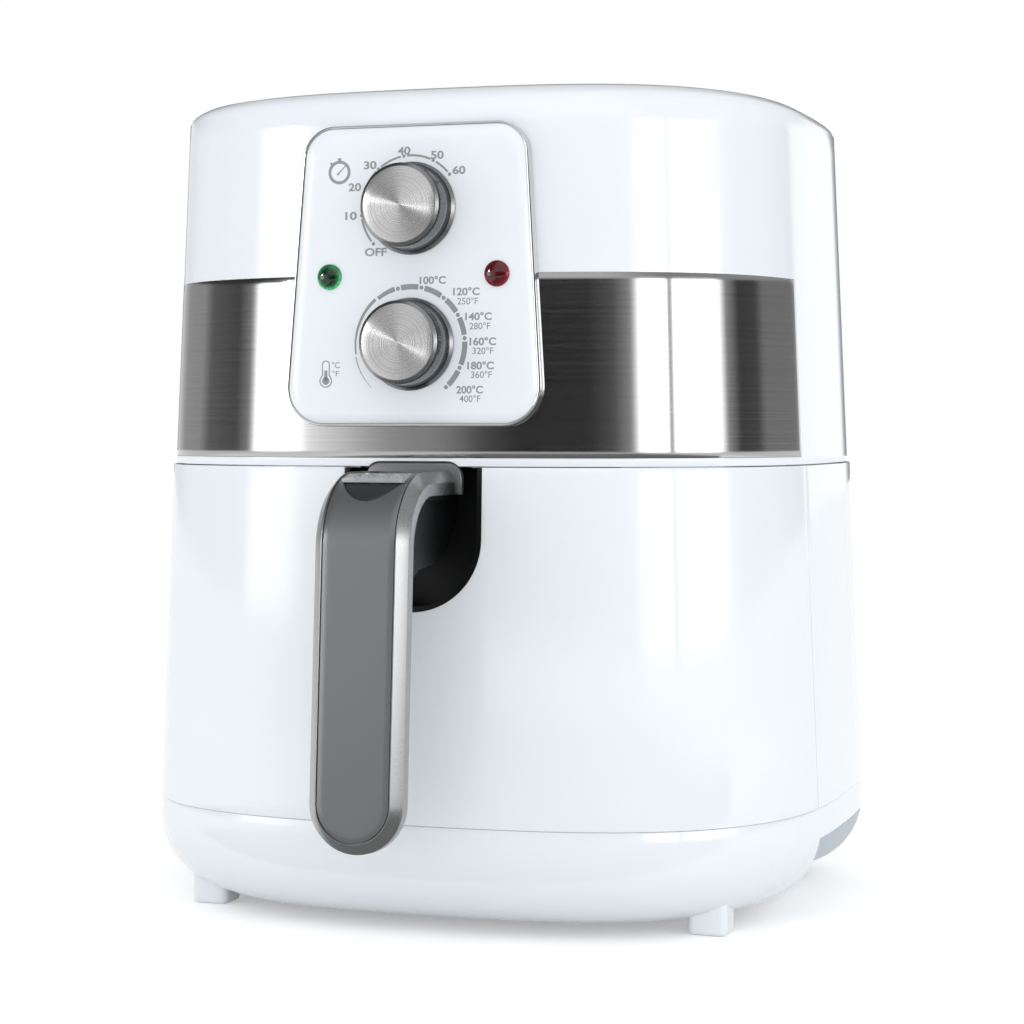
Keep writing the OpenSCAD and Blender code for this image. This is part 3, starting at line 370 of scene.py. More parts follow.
# %% [markdown]
# ### Dial sides, lenses, guard and print
#
# The side of a dial is glossy black, its knurl is chromed, and its foot and the rim of its face
# are turned metal. A signal lens is clear coloured plastic with small prisms moulded inside,
# drawn here as a shallow cell relief. Its colour has a painted glow, lighter along the dome's
# flank and more below than above, which the cells break into lighter and darker patches. The
# guard is clear acrylic, and the scales are screen-printed in grey ink.

# %% Dial sides
finishes["knob_grip"] = grained("gloss_black_chrome", "#0B0C0D", 0.12, 3, 0.003, 0.2, IOR=1.6)
knurled = grained("knurled_chrome", "#8A8C8E", 0.1, 3, 0.004, 0.1, Metallic=1.0)
rim_metal = grained("turned_rim", "#97999B", 0.3, 2, 0.006, 0.08, Metallic=1.0)


# %% Lenses
# A lens of deep colour with a painted glow of a lighter colour along its flank.
def lens_plastic(name, deep, bright, glow):
    made, tree, shader = material(name, Roughness=0.05, IOR=1.5, Coat_Weight=0.15)
    where = add(tree, "TexCoord", {}).outputs["Object"]
    cells = add(tree, "TexVoronoi", {"Vector": where, "Scale": 1 / (1.3 * MM), "Randomness": 0.7},
                feature="F1")
    # Painted glow: the colour turns lighter in a ring along the dome's flank, more below than
    # above.
    level = add(tree, "NewGeometry", {}).outputs["Normal"]
    ahead = add(tree, "SeparateXYZ", {0: level})
    flank = add(tree, "MapRange", {"Value": ahead.outputs["Y"], "From Min": -0.98,
                                   "From Max": -0.8})
    below = add(tree, "MapRange", {"Value": ahead.outputs["Z"], "From Min": 0.55,
                                   "From Max": -0.15, "To Min": 0.3})
    painted_glow = add(tree, "Math", {0: flank.outputs[0], 1: below.outputs[0]}, operation="MULTIPLY")
    # The cells break up the painted glow; glow is its share left at a cell's edge.
    grain = add(tree, "MapRange", {"Value": cells.outputs["Distance"], "From Max": 0.7,
                                   "To Min": 1.0, "To Max": glow})
    share = add(tree, "Math", {0: painted_glow.outputs[0], 1: grain.outputs[0]}, operation="MULTIPLY")
    tone = add(tree, "Mix", {0: share.outputs[0], 6: linear(deep), 7: linear(bright)},
               data_type="RGBA")
    tree.links.new(tone.outputs[2], shader.inputs["Base Color"])
    relief = add(tree, "Bump", {"Height": cells.outputs["Distance"], "Distance": 0.05 * MM,
                                "Strength": 0.5})
    tree.links.new(relief.outputs[0], shader.inputs["Normal"])
    return made


# Deep colour, the colour of the painted glow, and the glow's share at a cell's edge.
finishes["green_lens"] = lens_plastic("green_polycarbonate_painted_glow", "#0A2A14", "#63E897", 0.45)
finishes["red_lens"] = lens_plastic("red_polycarbonate_painted_glow", "#4A0C12", "#9A2A34", 0.5)

# %% Clear guard and printing ink
finishes["clear_plastic"] = grained("clear_acrylic", "#E4E8EA", 0.05, 6, 0.004, 0.02,
                                    Transmission_Weight=0.7, IOR=1.49)
ink = grained("grey_screen_ink", "#8E9194", 0.5, 0.5, 0.004, 0.04)
print("finishes:", len(finishes))

# %% [markdown]
# ## Dress the CAD solids
#
# The record names a finish for every solid, so one loop dresses them all. Only the spun dial
# faces get theirs later, with their own meshes. Pieces whose solids are smooth enough keep them:
# the works behind the panel, the air wheel, the vent and the feet.

# %% Finishes onto the solids
for part in frame["record"]["subparts"]:
    if part["material_slot"] in finishes:
        mesh = nodes[part["node"]].data
        mesh.materials.clear()
        mesh.materials.append(finishes[part["material_slot"]])

# %% [markdown]
# ## The body's form
#
# Seen from above the body is a rounded square, fuller at the back, and it leans in a little
# towards the top. One function gives any point of that form: by its place along the outline, its
# height, and how far it is moved out. The outline is counted from the left edge of the front,
# through the middle of the front at 0, along the right side from 1 to 2, round the back from 2
# to 3 and along the left side to 4. In the middle of the front a column keeps its x, so that
# straight upright cut-outs stay straight.

# %% Points of the body
BODY_Y = 33.4                # the body's middle lies behind the origin
FLAT_X = 60                  # columns nearer the middle than this keep their x
HALF_WIDE, LEAN_SIDE = 150, 0.0423        # size at the table, and how it shrinks with height
FRONT_DEEP, LEAN_FRONT = 144.7, 0.0376
REAR_DEEP, LEAN_REAR = 137.2, 0.0517
SQUARE_FRONT, SQUARE_REAR = 3, 3.2        # powers of the outline; 2 is an ellipse


def plan_size(z, out, front):
    """Half width, depth and squareness of the front or the rear half of the plan."""
    wide = HALF_WIDE - LEAN_SIDE * z + out
    if front:
        return wide, FRONT_DEEP - LEAN_FRONT * z + out, SQUARE_FRONT
    return wide, REAR_DEEP - LEAN_REAR * z + out, SQUARE_REAR


def at_x(x, z, out):
    """How far ahead of its middle the body's front reaches at x."""
    a, b, e = plan_size(z, out, True)
    return b * (1 - (abs(x) / a) ** e) ** (1 / e)


def at_y(y, z, out):
    """How far to the side the body reaches at y, measured from its middle."""
    a, b, e = plan_size(z, out, y < 0)
    return a * (1 - (abs(y) / b) ** e) ** (1 / e)


def on_plan(direction, z, out):
    """The point of the outline in a direction, in degrees from +x."""
    t = radians(direction)
    a, b, e = plan_size(z, out, sin(t) < 0)
    r = ((abs(cos(t)) / a) ** e + (abs(sin(t)) / b) ** e) ** (-1 / e)
    return Vector((r * cos(t), r * sin(t) + BODY_Y, z))


def body_point(c, z, out, ends=(0, 0)):
    """ends: the y at which the front ends, and the y at which the back begins."""
    if out < -40:            # far in, the outline only shrinks
        point = body_point(c, z, -40, ends)
        share = plan_size(z, out, True)[0] / plan_size(z, -40, True)[0]
        return Vector((point.x * share, BODY_Y + (point.y - BODY_Y) * share, z))
    side, c = (-1, -c) if c < 0 else (-1, 5 - c) if c > 3 else (1, c)
    if c <= 0.5:
        x = c * 2 * FLAT_X
        return Vector((side * x, BODY_Y - at_x(x, z, out), z))
    if c <= 1:
        start = degrees(atan2(-at_x(FLAT_X, z, out), FLAT_X))
        end = degrees(atan2(ends[0], at_y(ends[0], z, out)))
        point = on_plan(start + (end - start) * (c - 0.5) * 2, z, out)
    elif c <= 2:
        y = ends[0] + (ends[1] - ends[0]) * (c - 1)
        point = Vector((at_y(y, z, out), y + BODY_Y, z))
    else:
        start = degrees(atan2(ends[1], at_y(ends[1], z, out)))
        point = on_plan(start + (180 - 2 * start) * (c - 2), z, out)
    return Vector((side * point.x, point.y, z))


def steps(start, stop, count):
    return [start + (stop - start) * i / count for i in range(count + 1)]


def arc(centre, radius, start, stop, count=24):
    return [(centre[0] + radius * cos(radians(a)), centre[1] + radius * sin(radians(a)))
            for a in steps(start, stop, count)]


print("half width at the table:", at_y(0, 0, 0), "mm")

# %% [markdown]
# ## Tools for every piece
#
# A grid of quads is the simplest sheet to shape: each of its crossings is moved to its place on
# the form, and its ends are welded where they meet. The second tool finishes a piece: it merges
# doubles, turns the faces outwards, marks the true edges sharp, turns millimetres into metres,
# gives the finish, hangs the piece on the body that carries it, and hides the solids it stands
# for. Three short tools extrude faces, make a solid from one flat outline, and round edges or
# corners.

# %% Sheet and finish
def sheet(columns, rows, place, skip=None):
    """A grid whose crossing (i, j) goes to place(i, j); skip(i, j) leaves a face out."""
    bm = bmesh.new()
    bmesh.ops.create_grid(bm, x_segments=columns - 1, y_segments=rows - 1, size=1)
    if skip:
        gone = [f for f in bm.faces
                if skip(int((f.calc_center_median().x + 1) / 2 * (columns - 1)),
                        int((f.calc_center_median().y + 1) / 2 * (rows - 1)))]
        bmesh.ops.delete(bm, geom=gone, context="FACES")
    for v in bm.verts:
        v.co = place(round((v.co.x + 1) / 2 * (columns - 1)),
                     round((v.co.y + 1) / 2 * (rows - 1)))
    bmesh.ops.remove_doubles(bm, verts=bm.verts, dist=0.004)
    bmesh.ops.dissolve_degenerate(bm, dist=0.003, edges=bm.edges)
    return bm


SHARP = 30                   # degrees; a stronger turn between two faces is an edge


def piece(name, bm, body, slot=None, stands_for=(), place=Matrix(), finish=None):
    """The finished object, from a bmesh in millimetres."""
    bmesh.ops.remove_doubles(bm, verts=bm.verts, dist=0.002)
    bmesh.ops.recalc_face_normals(bm, faces=bm.faces)
    bm.transform(Matrix.Scale(MM, 4) @ place)
    bm.normal_update()
    for face in bm.faces:
        face.smooth = True
    for edge in bm.edges:
        edge.smooth = len(edge.link_faces) == 2 and edge.calc_face_angle() < radians(SHARP)
    mesh = bpy.data.meshes.new(name)
    bm.to_mesh(mesh)
    bm.free()
    mesh.materials.append(finishes[slot] if finish is None else finish)
    made = bpy.data.objects.new(name, mesh)
    scene.collection.objects.link(made)
    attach(made, body)
    if stands_for:
        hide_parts(*stands_for)
    print(f"{name}: {len(mesh.polygons)} faces")
    return made


def grow(bm, along, faces=None):
    """Extrudes faces, or all of them, and returns the faces at the far end."""
    grown = bmesh.ops.extrude_face_region(bm, geom=faces or bm.faces[:])["geom"]
    bmesh.ops.translate(bm, verts=[g for g in grown if isinstance(g, bmesh.types.BMVert)],
                        vec=along)
    return [g for g in grown if isinstance(g, bmesh.types.BMFace)]


def prism(outline, along):
    """A solid from one flat outline, extruded."""
    bm = bmesh.new()
    bm.faces.new([bm.verts.new(point) for point in outline])
    grow(bm, along)
    bm.normal_update()
    return bm


def rounded(bm, geom, offset, segments, affect="EDGES"):
    bmesh.ops.bevel(bm, geom=geom, offset=offset, segments=segments, profile=0.5,
                    affect=affect, material=-1)


def smooth_line(points, count):
    """A soft curve through points, count steps from each to the next."""
    line = []
    for k in range(len(points) - 1):
        a, b = Vector(points[k]), Vector(points[k + 1])
        before = Vector(points[k - 1]) if k else 2 * a - b
        after = Vector(points[k + 2]) if k + 2 < len(points) else 2 * b - a
        for t in [i / count for i in range(count)]:
            line.append(0.5 * ((2 * a) + (b - before) * t
                               + (2 * before - 5 * a + 4 * b - after) * t * t
                               + (3 * a - before - 3 * b + after) * t ** 3))
    return [tuple(p) for p in line] + [tuple(points[-1])]


# %% [markdown]
# ## Upper housing
#
# The upper housing is one deep moulding, open below, with a soft shoulder and a nearly flat top.
# The steel band lies in a shallow step of its wall, and its lower edge arches over the root of
# the handle. It is made as a closed double wall: the profile runs from the inner pole down the
# inside, round the lower edge, and up the outside to the outer pole.

# %% Upper housing
UPPER_OUT = -0.55            # the upper housing stands in from the mean wall line
SEAM_Z = 190.1
TOP_Z = 345
BAND_Z = (193.5, 266.7)
BAND_ENDS = (-49, -49)
shoulder = smooth_line([(335.6, 0), (338, -1.4), (340.1, -4.3), (341.7, -8.6), (343.2, -20),
                        (344.5, -52), (345, -95)], 4)
inside = [(340.5, -110), (340.5, -80), (338.5, -30), (336, -10), (332, -4.2), (300, -3.4),
          (250, -3.4), (SEAM_Z, -3.2)]
outside = [(SEAM_Z, -0.3), (SEAM_Z + 0.09, -0.09), (SEAM_Z + 0.3, 0), (BAND_Z[0] - 0.1, 0)]
rows = [(z, out, 0) for z, out in inside + outside]
rows += [(z, 0, 1) for z in steps(BAND_Z[0] - 0.1, BAND_Z[1] + 0.1, 8)]
rows += [(z, 0, 0) for z in steps(BAND_Z[1] + 0.1, 335.6, 8)[:-1]]
rows += [(z, out, 0) for z, out in shoulder + [(TOP_Z, -118)]]
ARCH_HIGH = 192.1            # the lower edge's height over the handle's root


def arch(x):
    """How far the lower edge is lifted over the handle's root."""
    corner, half_flat = 6.5, 14.4
    drop = max(0, abs(x) - half_flat)
    return max(0, ARCH_HIGH - corner + sqrt(max(0, corner ** 2 - drop ** 2)) - SEAM_Z)


middle = steps(-60, -21, 16) + steps(-20.4, -13.2, 14) + steps(-12, 12, 12)
middle += [-x for x in reversed(steps(-60, -21, 16) + steps(-20.4, -13.2, 14))]
front = [(c, 1) for c in steps(-1, -0.5, 60)[:-1] + [x / 120 for x in middle]
         + steps(0.5, 1, 60)[1:]]
around_body = front + [(c, 0) for c in steps(2, 3, 150)] + [front[0]]


def upper_point(i, j):
    c, in_front = around_body[i]
    if j in (0, len(rows) + 1):
        return Vector((0, BODY_Y + 6, 340.5 if j == 0 else TOP_Z))
    z, out, step = rows[j - 1]
    point = body_point(c, z, UPPER_OUT + out - (1.0 if step and in_front else 0), BAND_ENDS)
    if z < BAND_Z[0] and in_front:
        point.z += arch(point.x) * (BAND_Z[0] - 0.15 - z) / (BAND_Z[0] - 0.15 - SEAM_Z)
    return point


piece("upper_shell", sheet(len(around_body), len(rows) + 2, upper_point), "housing",
      "white_housing", ["upper_housing"])

# %% [markdown]
# ## Drawer front and rear housing
#
# The lower wall is in two parts. The front slides out with the pan; it has a deep rounded
# cut-out behind the handle. The rear part stays. Each is a curved sheet that is given a wall of
# three millimetres and then a fine bevel along its rim, which catches the light at the seams.

# %% Walls with a bevelled rim
LOWER_OUT = 0.55
WALL_T = 3.0                 # thickness of a moulded wall
RIM_R = 0.3                  # bevel along a wall's rim
DRAWER_Z = (46.85, 189.75)
POCKET_HALF = 29.3
POCKET_CENTRE = 161.2        # height of the middle of the cut-out's round end


def walled(bm, thickness, rim, segments=3):
    """Gives an open sheet a wall behind it, and bevels its outer rim."""
    outer = set(bm.faces)
    bm.normal_update()
    bmesh.ops.solidify(bm, geom=bm.faces[:], thickness=thickness)
    bm.normal_update()
    edges = [e for e in bm.edges if len(e.link_faces) == 2 and e.calc_face_angle() > 1
             and sum(f in outer for f in e.link_faces) == 1]
    rounded(bm, edges, rim, segments)
    return bm


# %% Drawer front
inner = [POCKET_HALF * sin(radians(a)) for a in steps(-90, 90, 40)]
middle = steps(-60, -POCKET_HALF, 13)[:-1] + inner + steps(POCKET_HALF, 60, 13)[1:]
front = steps(-1, -0.5, 60)[:-1] + [x / 120 for x in middle] + steps(0.5, 1, 60)[1:]
heights = steps(DRAWER_Z[0], POCKET_CENTRE, 26) + steps(POCKET_CENTRE, DRAWER_Z[1], 7)[1:]
POCKET_FIRST = 60 + 13       # the columns and rows that bound the cut-out
POCKET_COUNT, POCKET_ROW = 40, 26
DRAWER_ENDS = (-48.2, -48.2)


def drawer_point(i, j):
    z = heights[j]
    x = front[i] * 2 * FLAT_X
    if abs(x) < POCKET_HALF + 0.001 and j <= POCKET_ROW:
        low = POCKET_CENTRE - sqrt(max(0, POCKET_HALF ** 2 - x ** 2))
        z = DRAWER_Z[0] + (z - DRAWER_Z[0]) * (low - DRAWER_Z[0]) / (POCKET_CENTRE - DRAWER_Z[0])
    return body_point(front[i], z, LOWER_OUT, DRAWER_ENDS)


skin = sheet(len(front), len(heights), drawer_point,
             skip=lambda i, j: 0 <= i - POCKET_FIRST < POCKET_COUNT and j >= POCKET_ROW)
piece("drawer_skin", walled(skin, WALL_T, RIM_R), "drawer", "white_housing", ["drawer_front"])

# %% Rear wall
back = steps(2, 3, 170)
heights = steps(*DRAWER_Z, 16)
skin = sheet(len(back), len(heights),
             lambda i, j: body_point(back[i], heights[j], LOWER_OUT, (-47.7, -47.7)))
piece("rear_skin", walled(skin, WALL_T, RIM_R), "housing", "white_housing", ["rear_housing"])

# %% [markdown]
# ## Base
#
# The base turns the walls in under the body with a large radius. A recess on each side gives the
# fingers room to lift the fryer. The recess is cut out of the sheet, its edge is drawn inwards to
# a flat back, and the back is closed.

# %% Base
BASE_OUT = 0.15
ROUND = 35                   # radius from the wall to the floor
UNDER_Z = 5.4
GRIP_ENDS = (-45, 52)
GRIP_X = 118                 # half the width between the backs of the two recesses
CEILING_Z = 43.2             # the base's upper side, inside the walls
angle_low = degrees(acos(1 - 29.7 / ROUND))
angle_grip = degrees(atan2(6, sqrt(ROUND ** 2 - 36)))
angles = steps(angle_low, angle_grip, 16) + steps(angle_grip, 0, 3)[1:]
rows = [(UNDER_Z, -60)]
rows += [(max(UNDER_Z, 40 - ROUND * sin(radians(a))), BASE_OUT - ROUND * (1 - cos(radians(a))))
         for a in angles]
rows += [(45.9, BASE_OUT), (46.45, BASE_OUT - 0.1), (46.65, BASE_OUT - 0.3), (46.7, -2.5),
         (CEILING_Z, -3.2), (CEILING_Z, -60)]
columns = steps(-1, -0.5, 50)[:-1] + steps(-0.5, 0.5, 36) + steps(0.5, 1, 50)[1:]
columns += steps(1, 2, 26)[1:] + steps(2, 3, 120)[1:] + steps(3, 4, 26)[1:]


def base_point(i, j):
    if j in (0, len(rows) + 1):
        return Vector((0, BODY_Y, UNDER_Z if j == 0 else CEILING_Z))
    z, out = rows[j - 1]
    point = body_point(columns[i], z, out, GRIP_ENDS)
    at_side = 1 <= columns[i] <= 2 or columns[i] >= 3 or columns[i] == -1
    if j == 2 and at_side:
        return Vector((GRIP_X if point.x > 0 else -GRIP_X, point.y, UNDER_Z))
    return point


bm = sheet(len(columns), len(rows) + 2, base_point,
           skip=lambda i, j: (1 <= columns[i] < 2 or 3 <= columns[i] < 4) and 2 <= j < 18)
rim = [e for e in bm.edges if e.is_boundary]
grown = bmesh.ops.extrude_edge_only(bm, edges=rim)["geom"]
for v in [g for g in grown if isinstance(g, bmesh.types.BMVert)]:
    v.co.x = GRIP_X if v.co.x > 0 else -GRIP_X
bmesh.ops.remove_doubles(bm, verts=bm.verts, dist=0.01)
bmesh.ops.dissolve_degenerate(bm, dist=0.003, edges=bm.edges)
bmesh.ops.holes_fill(bm, edges=[e for e in bm.edges if e.is_boundary], sides=0)
piece("base_shell", bm, "housing", "white_housing", ["base_housing"])

# %% [markdown]
# ## Steel band
#
# The band is a strip of thin stainless steel, bent round the front and let into the step of the
# upper housing. It is the same curved sheet as the walls, with a much thinner wall and rim. The
# part behind the panel is left out, as it is on a real strip, where the wires come through.

# %% Steel band
columns = steps(-1, 1, 240)
heights = steps(*BAND_Z, 24)
BAND_T, BAND_R = 0.9, 0.12   # thickness of the strip and bevel of its edges
HOLE_HALF, HOLE_LOW = 40, 224


def band_point(i, j):
    return body_point(columns[i], heights[j], UPPER_OUT + 0.1, BAND_ENDS)


def band_hole(i, j):
    return abs(columns[i] + columns[i + 1]) * FLAT_X < HOLE_HALF and heights[j] > HOLE_LOW


skin = sheet(len(columns), len(heights), band_point, band_hole)
piece("brushed_strip", walled(skin, BAND_T, BAND_R, 2), "housing", "brushed_band",
      ["steel_band"])

# %% [markdown]
# ## Control panel
#
# The panel is a flat plate whose edge rolls over softly, set in a thin chrome frame. The outline
# is one face with bevelled corners. Raised and drawn in a little at a time, that face becomes
# the rolled edge. The last step is flat, so that the middle shades as a plane.

# %% Panel and its chrome frame
PANEL_Z = 266.3
PANEL_OUT = 4.0              # from the middle of the body's front to the panel's face
PANEL_BACK = -9
PANEL_HALF_H = 59.3
LOW_HALF_W, LOW_CORNER = 54, 15
TOP_HALF_W, TOP_CORNER = 45.9, 12
TRIM = 1.0                   # width of the chrome frame


def on_front(z):
    """Stands a piece on the body's front: x to the right, y up the front, z out of it."""
    return (Matrix.Translation((0, BODY_Y - FRONT_DEEP + LEAN_FRONT * z, z))
            @ Matrix.Rotation(pi / 2 - atan(LEAN_FRONT), 4, "X"))


def panel_face(out, z):
    """The panel's outline as one face, moved out all round."""
    bm = bmesh.new()
    half_h, low_w, top_w = (k + out for k in (PANEL_HALF_H, LOW_HALF_W, TOP_HALF_W))
    corners = [(-low_w, -half_h, LOW_CORNER), (low_w, -half_h, LOW_CORNER),
               (top_w, half_h, TOP_CORNER), (-top_w, half_h, TOP_CORNER)]
    verts = [bm.verts.new((x, y, z)) for x, y, radius in corners]
    bm.faces.new(verts)
    slant = atan((LOW_HALF_W - TOP_HALF_W) / (2 * PANEL_HALF_H))
    for v, (x, y, radius) in zip(verts, corners):
        half_turn = (pi / 2 + (slant if y > 0 else -slant)) / 2
        rounded(bm, [v], (radius + out) / sin(half_turn) * cos(half_turn), 14, "VERTICES")
    return bm


def raised(bm, height):
    """Lifts the one face of a plate, leaving walls below it."""
    top = grow(bm, (0, 0, height))
    bm.normal_update()
    return top


ROLL_WIDE, ROLL_HIGH = 5.5, 2.4
bm = panel_face(0, PANEL_BACK)
top = raised(bm, PANEL_OUT - ROLL_HIGH - PANEL_BACK)
turns = steps(0, 90, 9)
for a, b in zip(turns, turns[1:]):
    bmesh.ops.inset_region(bm, faces=top, use_even_offset=True,
                           thickness=ROLL_WIDE * (cos(radians(a)) - cos(radians(b))),
                           depth=ROLL_HIGH * (sin(radians(b)) - sin(radians(a))))
bmesh.ops.inset_region(bm, faces=top, thickness=0.6, use_even_offset=True)
piece("panel_plate", bm, "housing", "white_housing", ["control_panel"], on_front(PANEL_Z))

bm = panel_face(TRIM, PANEL_BACK)
frame_ring = bmesh.ops.inset_region(bm, faces=bm.faces[:], thickness=TRIM - 0.02,
                                    use_boundary=True, use_even_offset=True)["faces"]
bmesh.ops.delete(bm, geom=[f for f in bm.faces if f not in frame_ring], context="FACES")
raised(bm, PANEL_OUT - 1.8 - PANEL_BACK)
edges = [e for e in bm.edges if e.verts[0].co.z > 0 and e.verts[1].co.z > 0
         and len(e.link_faces) == 2 and e.calc_face_angle() > 1]
rounded(bm, edges, 0.22, 2)
piece("panel_chrome", bm, "housing", "panel_trim_metal", ["panel_trim"], on_front(PANEL_Z))

# %% [markdown]
# ## Signal lenses
#
# Each lens is a low dome, turned from its profile. Spinning a profile is how every round part
# here is made: the profile is a chain of points in the plane through the axis.

# %% Turned parts, and the lenses
def turned(profile, count, closed=False):
    """Spins a chain of (radius, height) points round the z axis."""
    bm = bmesh.new()
    verts = [bm.verts.new((r, 0, h)) for r, h in profile]
    edges = [bm.edges.new(pair) for pair in zip(verts, verts[1:])]
    if closed:
        edges.append(bm.edges.new((verts[-1], verts[0])))
    bmesh.ops.spin(bm, geom=verts + edges, axis=(0, 0, 1), cent=(0, 0, 0), steps=count,
                   angle=tau, use_merge=True)
    bmesh.ops.remove_doubles(bm, verts=bm.verts, dist=0.001)
    return bm


LENS_R = 5.2
dome = [(LENS_R * cos(radians(a)), PANEL_OUT + 0.4 + 1.7 * sin(radians(a)))
        for a in steps(0, 90, 9)]
for x, y, name, slot in ((-35.0, -0.5, "power_lens", "green_lens"),
                         (36.0, -0.3, "heat_lens", "red_lens")):
    bm = turned([(0, -0.6), (6.5, -0.6), (6.5, 1.4), (LENS_R, 1.4)] + dome, 48)
    piece(name + "_dome", bm, "housing", slot, [name],
          on_front(PANEL_Z) @ Matrix.Translation((x, y, 0)))

# %% [markdown]
# ## Dials
#
# A dial has a black side with a fine checkered knurl, and a spun aluminium face with a bevelled
# rim. Knurling is a pattern of little pits pressed into the side, so here every second crossing
# of the spun mesh is pushed in by 0.45 mm. Two short slots mark where the dial points.

# %% Dials
KNOB_R = 16.6
KNOB_H = 15
KNOB_TOP = PANEL_OUT + KNOB_H
KNURL = steps(KNOB_TOP - 10.0, KNOB_TOP - 2.6, 9)
AROUND = 120                 # pits round the side
PIT = 0.45                   # depth of a pit
FOOT = 6.3                   # the turned foot ends here
MARK = 234                   # degrees, towards seven o'clock
DIALS = (("timer", 292.5), ("temperature", 238.5))
side_line = [(3.05, 4.5), (18.3, 4.5), (18.5, 4.7), (18.5, 5.1), (18.1, 5.7), (17.4, 6.3),
             (16.9, 7.0), (KNOB_R, 8.0), (KNOB_R, KNURL[0] - 0.4)]
side_line += [(KNOB_R, h) for h in KNURL]
side_line += [(r, KNOB_TOP - h) for r, h in
              ((KNOB_R, 2.3), (16.4, 1.9), (15.9, 1.7), (15.7, 1.3), (14.5, 1.25), (14.5, 2.2),
               (3.05, 2.2))]
face_line = [(r, KNOB_TOP - h) for r, h in
             ((0, 2.15), (14.4, 2.15), (14.4, 1.18), (16.25, 1.18), (16.4, 1.05), (16.4, 0.9),
              (15.35, 0.14), (15.2, 0.05), (14.95, 0), (12.2, 0), (6, 0), (0, 0))]
for name, z in DIALS:
    bm = turned(side_line, AROUND, closed=True)
    for v in bm.verts:
        rows = [k for k, h in enumerate(KNURL) if abs(v.co.z - h) < 0.01]
        column = round((atan2(v.co.y, v.co.x) % tau) / tau * AROUND)
        if rows and 0 < rows[0] < len(KNURL) - 1 and (rows[0] + column) % 2:
            v.co.x, v.co.y = v.co.x * (1 - PIT / KNOB_R), v.co.y * (1 - PIT / KNOB_R)
    for face in bm.faces:
        rim = face.calc_center_median()
        if KNURL[0] < rim.z < KNURL[-1] and hypot(rim.x, rim.y) > KNOB_R - 0.5:
            face.material_index = 1
        elif rim.z < FOOT:
            face.material_index = 2
    grip = piece(name + "_grip", bm, name + "_dial", "knob_grip", [name + "_knob"], on_front(z))
    grip.data.materials.append(knurled)
    grip.data.materials.append(rim_metal)

    bm = turned(face_line, 144)
    slots = []
    for face in bm.faces:
        at = face.calc_center_median()
        turn = degrees(atan2(at.y, at.x)) % 360 - MARK
        if at.z > KNOB_TOP - 0.8 and hypot(at.x, at.y) > 12.3 and 1.2 < abs(turn) < 3.7:
            slots.append(face)
    bm.normal_update()
    grow(bm, (0, 0, -0.35), slots)
    for face in bm.faces:
        if 14.96 < hypot(*face.calc_center_median().xy) and face.normal.z < 0.995:
            face.material_index = 1
    disc = piece(name + "_disc", bm, name + "_dial", "spun_aluminium", [name + "_face"],
                 on_front(z), spun(name + "_spun_aluminium", on_front(z).translation))
    disc.data.materials.append(rim_metal)
    print(name, "slot faces:", len(slots))

# %% [markdown]
# ## Printed scales
#
# The scales are screen-printed. Each print is a layer of ink a few hundredths of a millimetre
# thick that lies on the panel. Lines and rings are narrow strips laid along a chain of points,
# and their widths can grow from end to end. Numbers are Blender text, made into a mesh, scaled
# to the height of a printed digit and moved to their place.

# %% Strokes, dots and numbers
INK = 0.05                   # thickness of the ink


def stroke(bm, line, first, last=None):
    """A flat strip along a line of (x, y) points; its width grows from first to last."""
    last = first if last is None else last
    count = len(line) - 1
    grid = bmesh.ops.create_grid(bm, x_segments=count, y_segments=1, size=1)["verts"]
    for v in grid:
        k = round((v.co.x + 1) / 2 * count)
        along = Vector(line[min(k + 1, count)]) - Vector(line[max(k - 1, 0)])
        across = along.orthogonal().normalized() * (first + (last - first) * k / count) / 2
        v.co = (Vector(line[k]) + across * (1 if v.co.y > 0 else -1)).to_3d()


def dot(bm, centre, radius):
    bmesh.ops.create_circle(bm, cap_ends=True, segments=20, radius=radius,
                            matrix=Matrix.Translation((*centre, 0)))


def figures(bm, text, middle, wide, tall, bold=0.028):
    """Text as flat faces of a given width and height in millimetres, centred on its middle."""
    curve = bpy.data.curves.new("figures", "FONT")
    curve.body, curve.offset, curve.resolution_u = text, bold, 5
    holder = bpy.data.objects.new("figures", curve)
    mesh = bpy.data.meshes.new_from_object(holder)
    low = Vector([min(v.co[k] for v in mesh.vertices) for k in (0, 1, 2)])
    high = Vector([max(v.co[k] for v in mesh.vertices) for k in (0, 1, 2)])
    size = Matrix.Diagonal((wide / (high.x - low.x), tall / (high.y - low.y), 1, 1))
    mesh.transform(Matrix.Translation((*middle, 0)) @ size
                   @ Matrix.Translation(-(low + high) / 2))
    bm.from_mesh(mesh)
    bpy.data.objects.remove(holder)
    bpy.data.meshes.remove(mesh)
    bpy.data.curves.remove(curve)


def printed(name, bm):
    """Gives a flat print the thickness of its ink and lays it on the panel."""
    bmesh.ops.recalc_face_normals(bm, faces=bm.faces)
    for face in bm.faces:
        if face.normal.z < 0:
            face.normal_flip()
    bm.normal_update()
    bmesh.ops.solidify(bm, geom=bm.faces[:], thickness=INK)
    piece(name, bm, "housing", finish=ink,
          place=on_front(PANEL_Z) @ Matrix.Translation((0, 0, PANEL_OUT + INK * 0.7)))


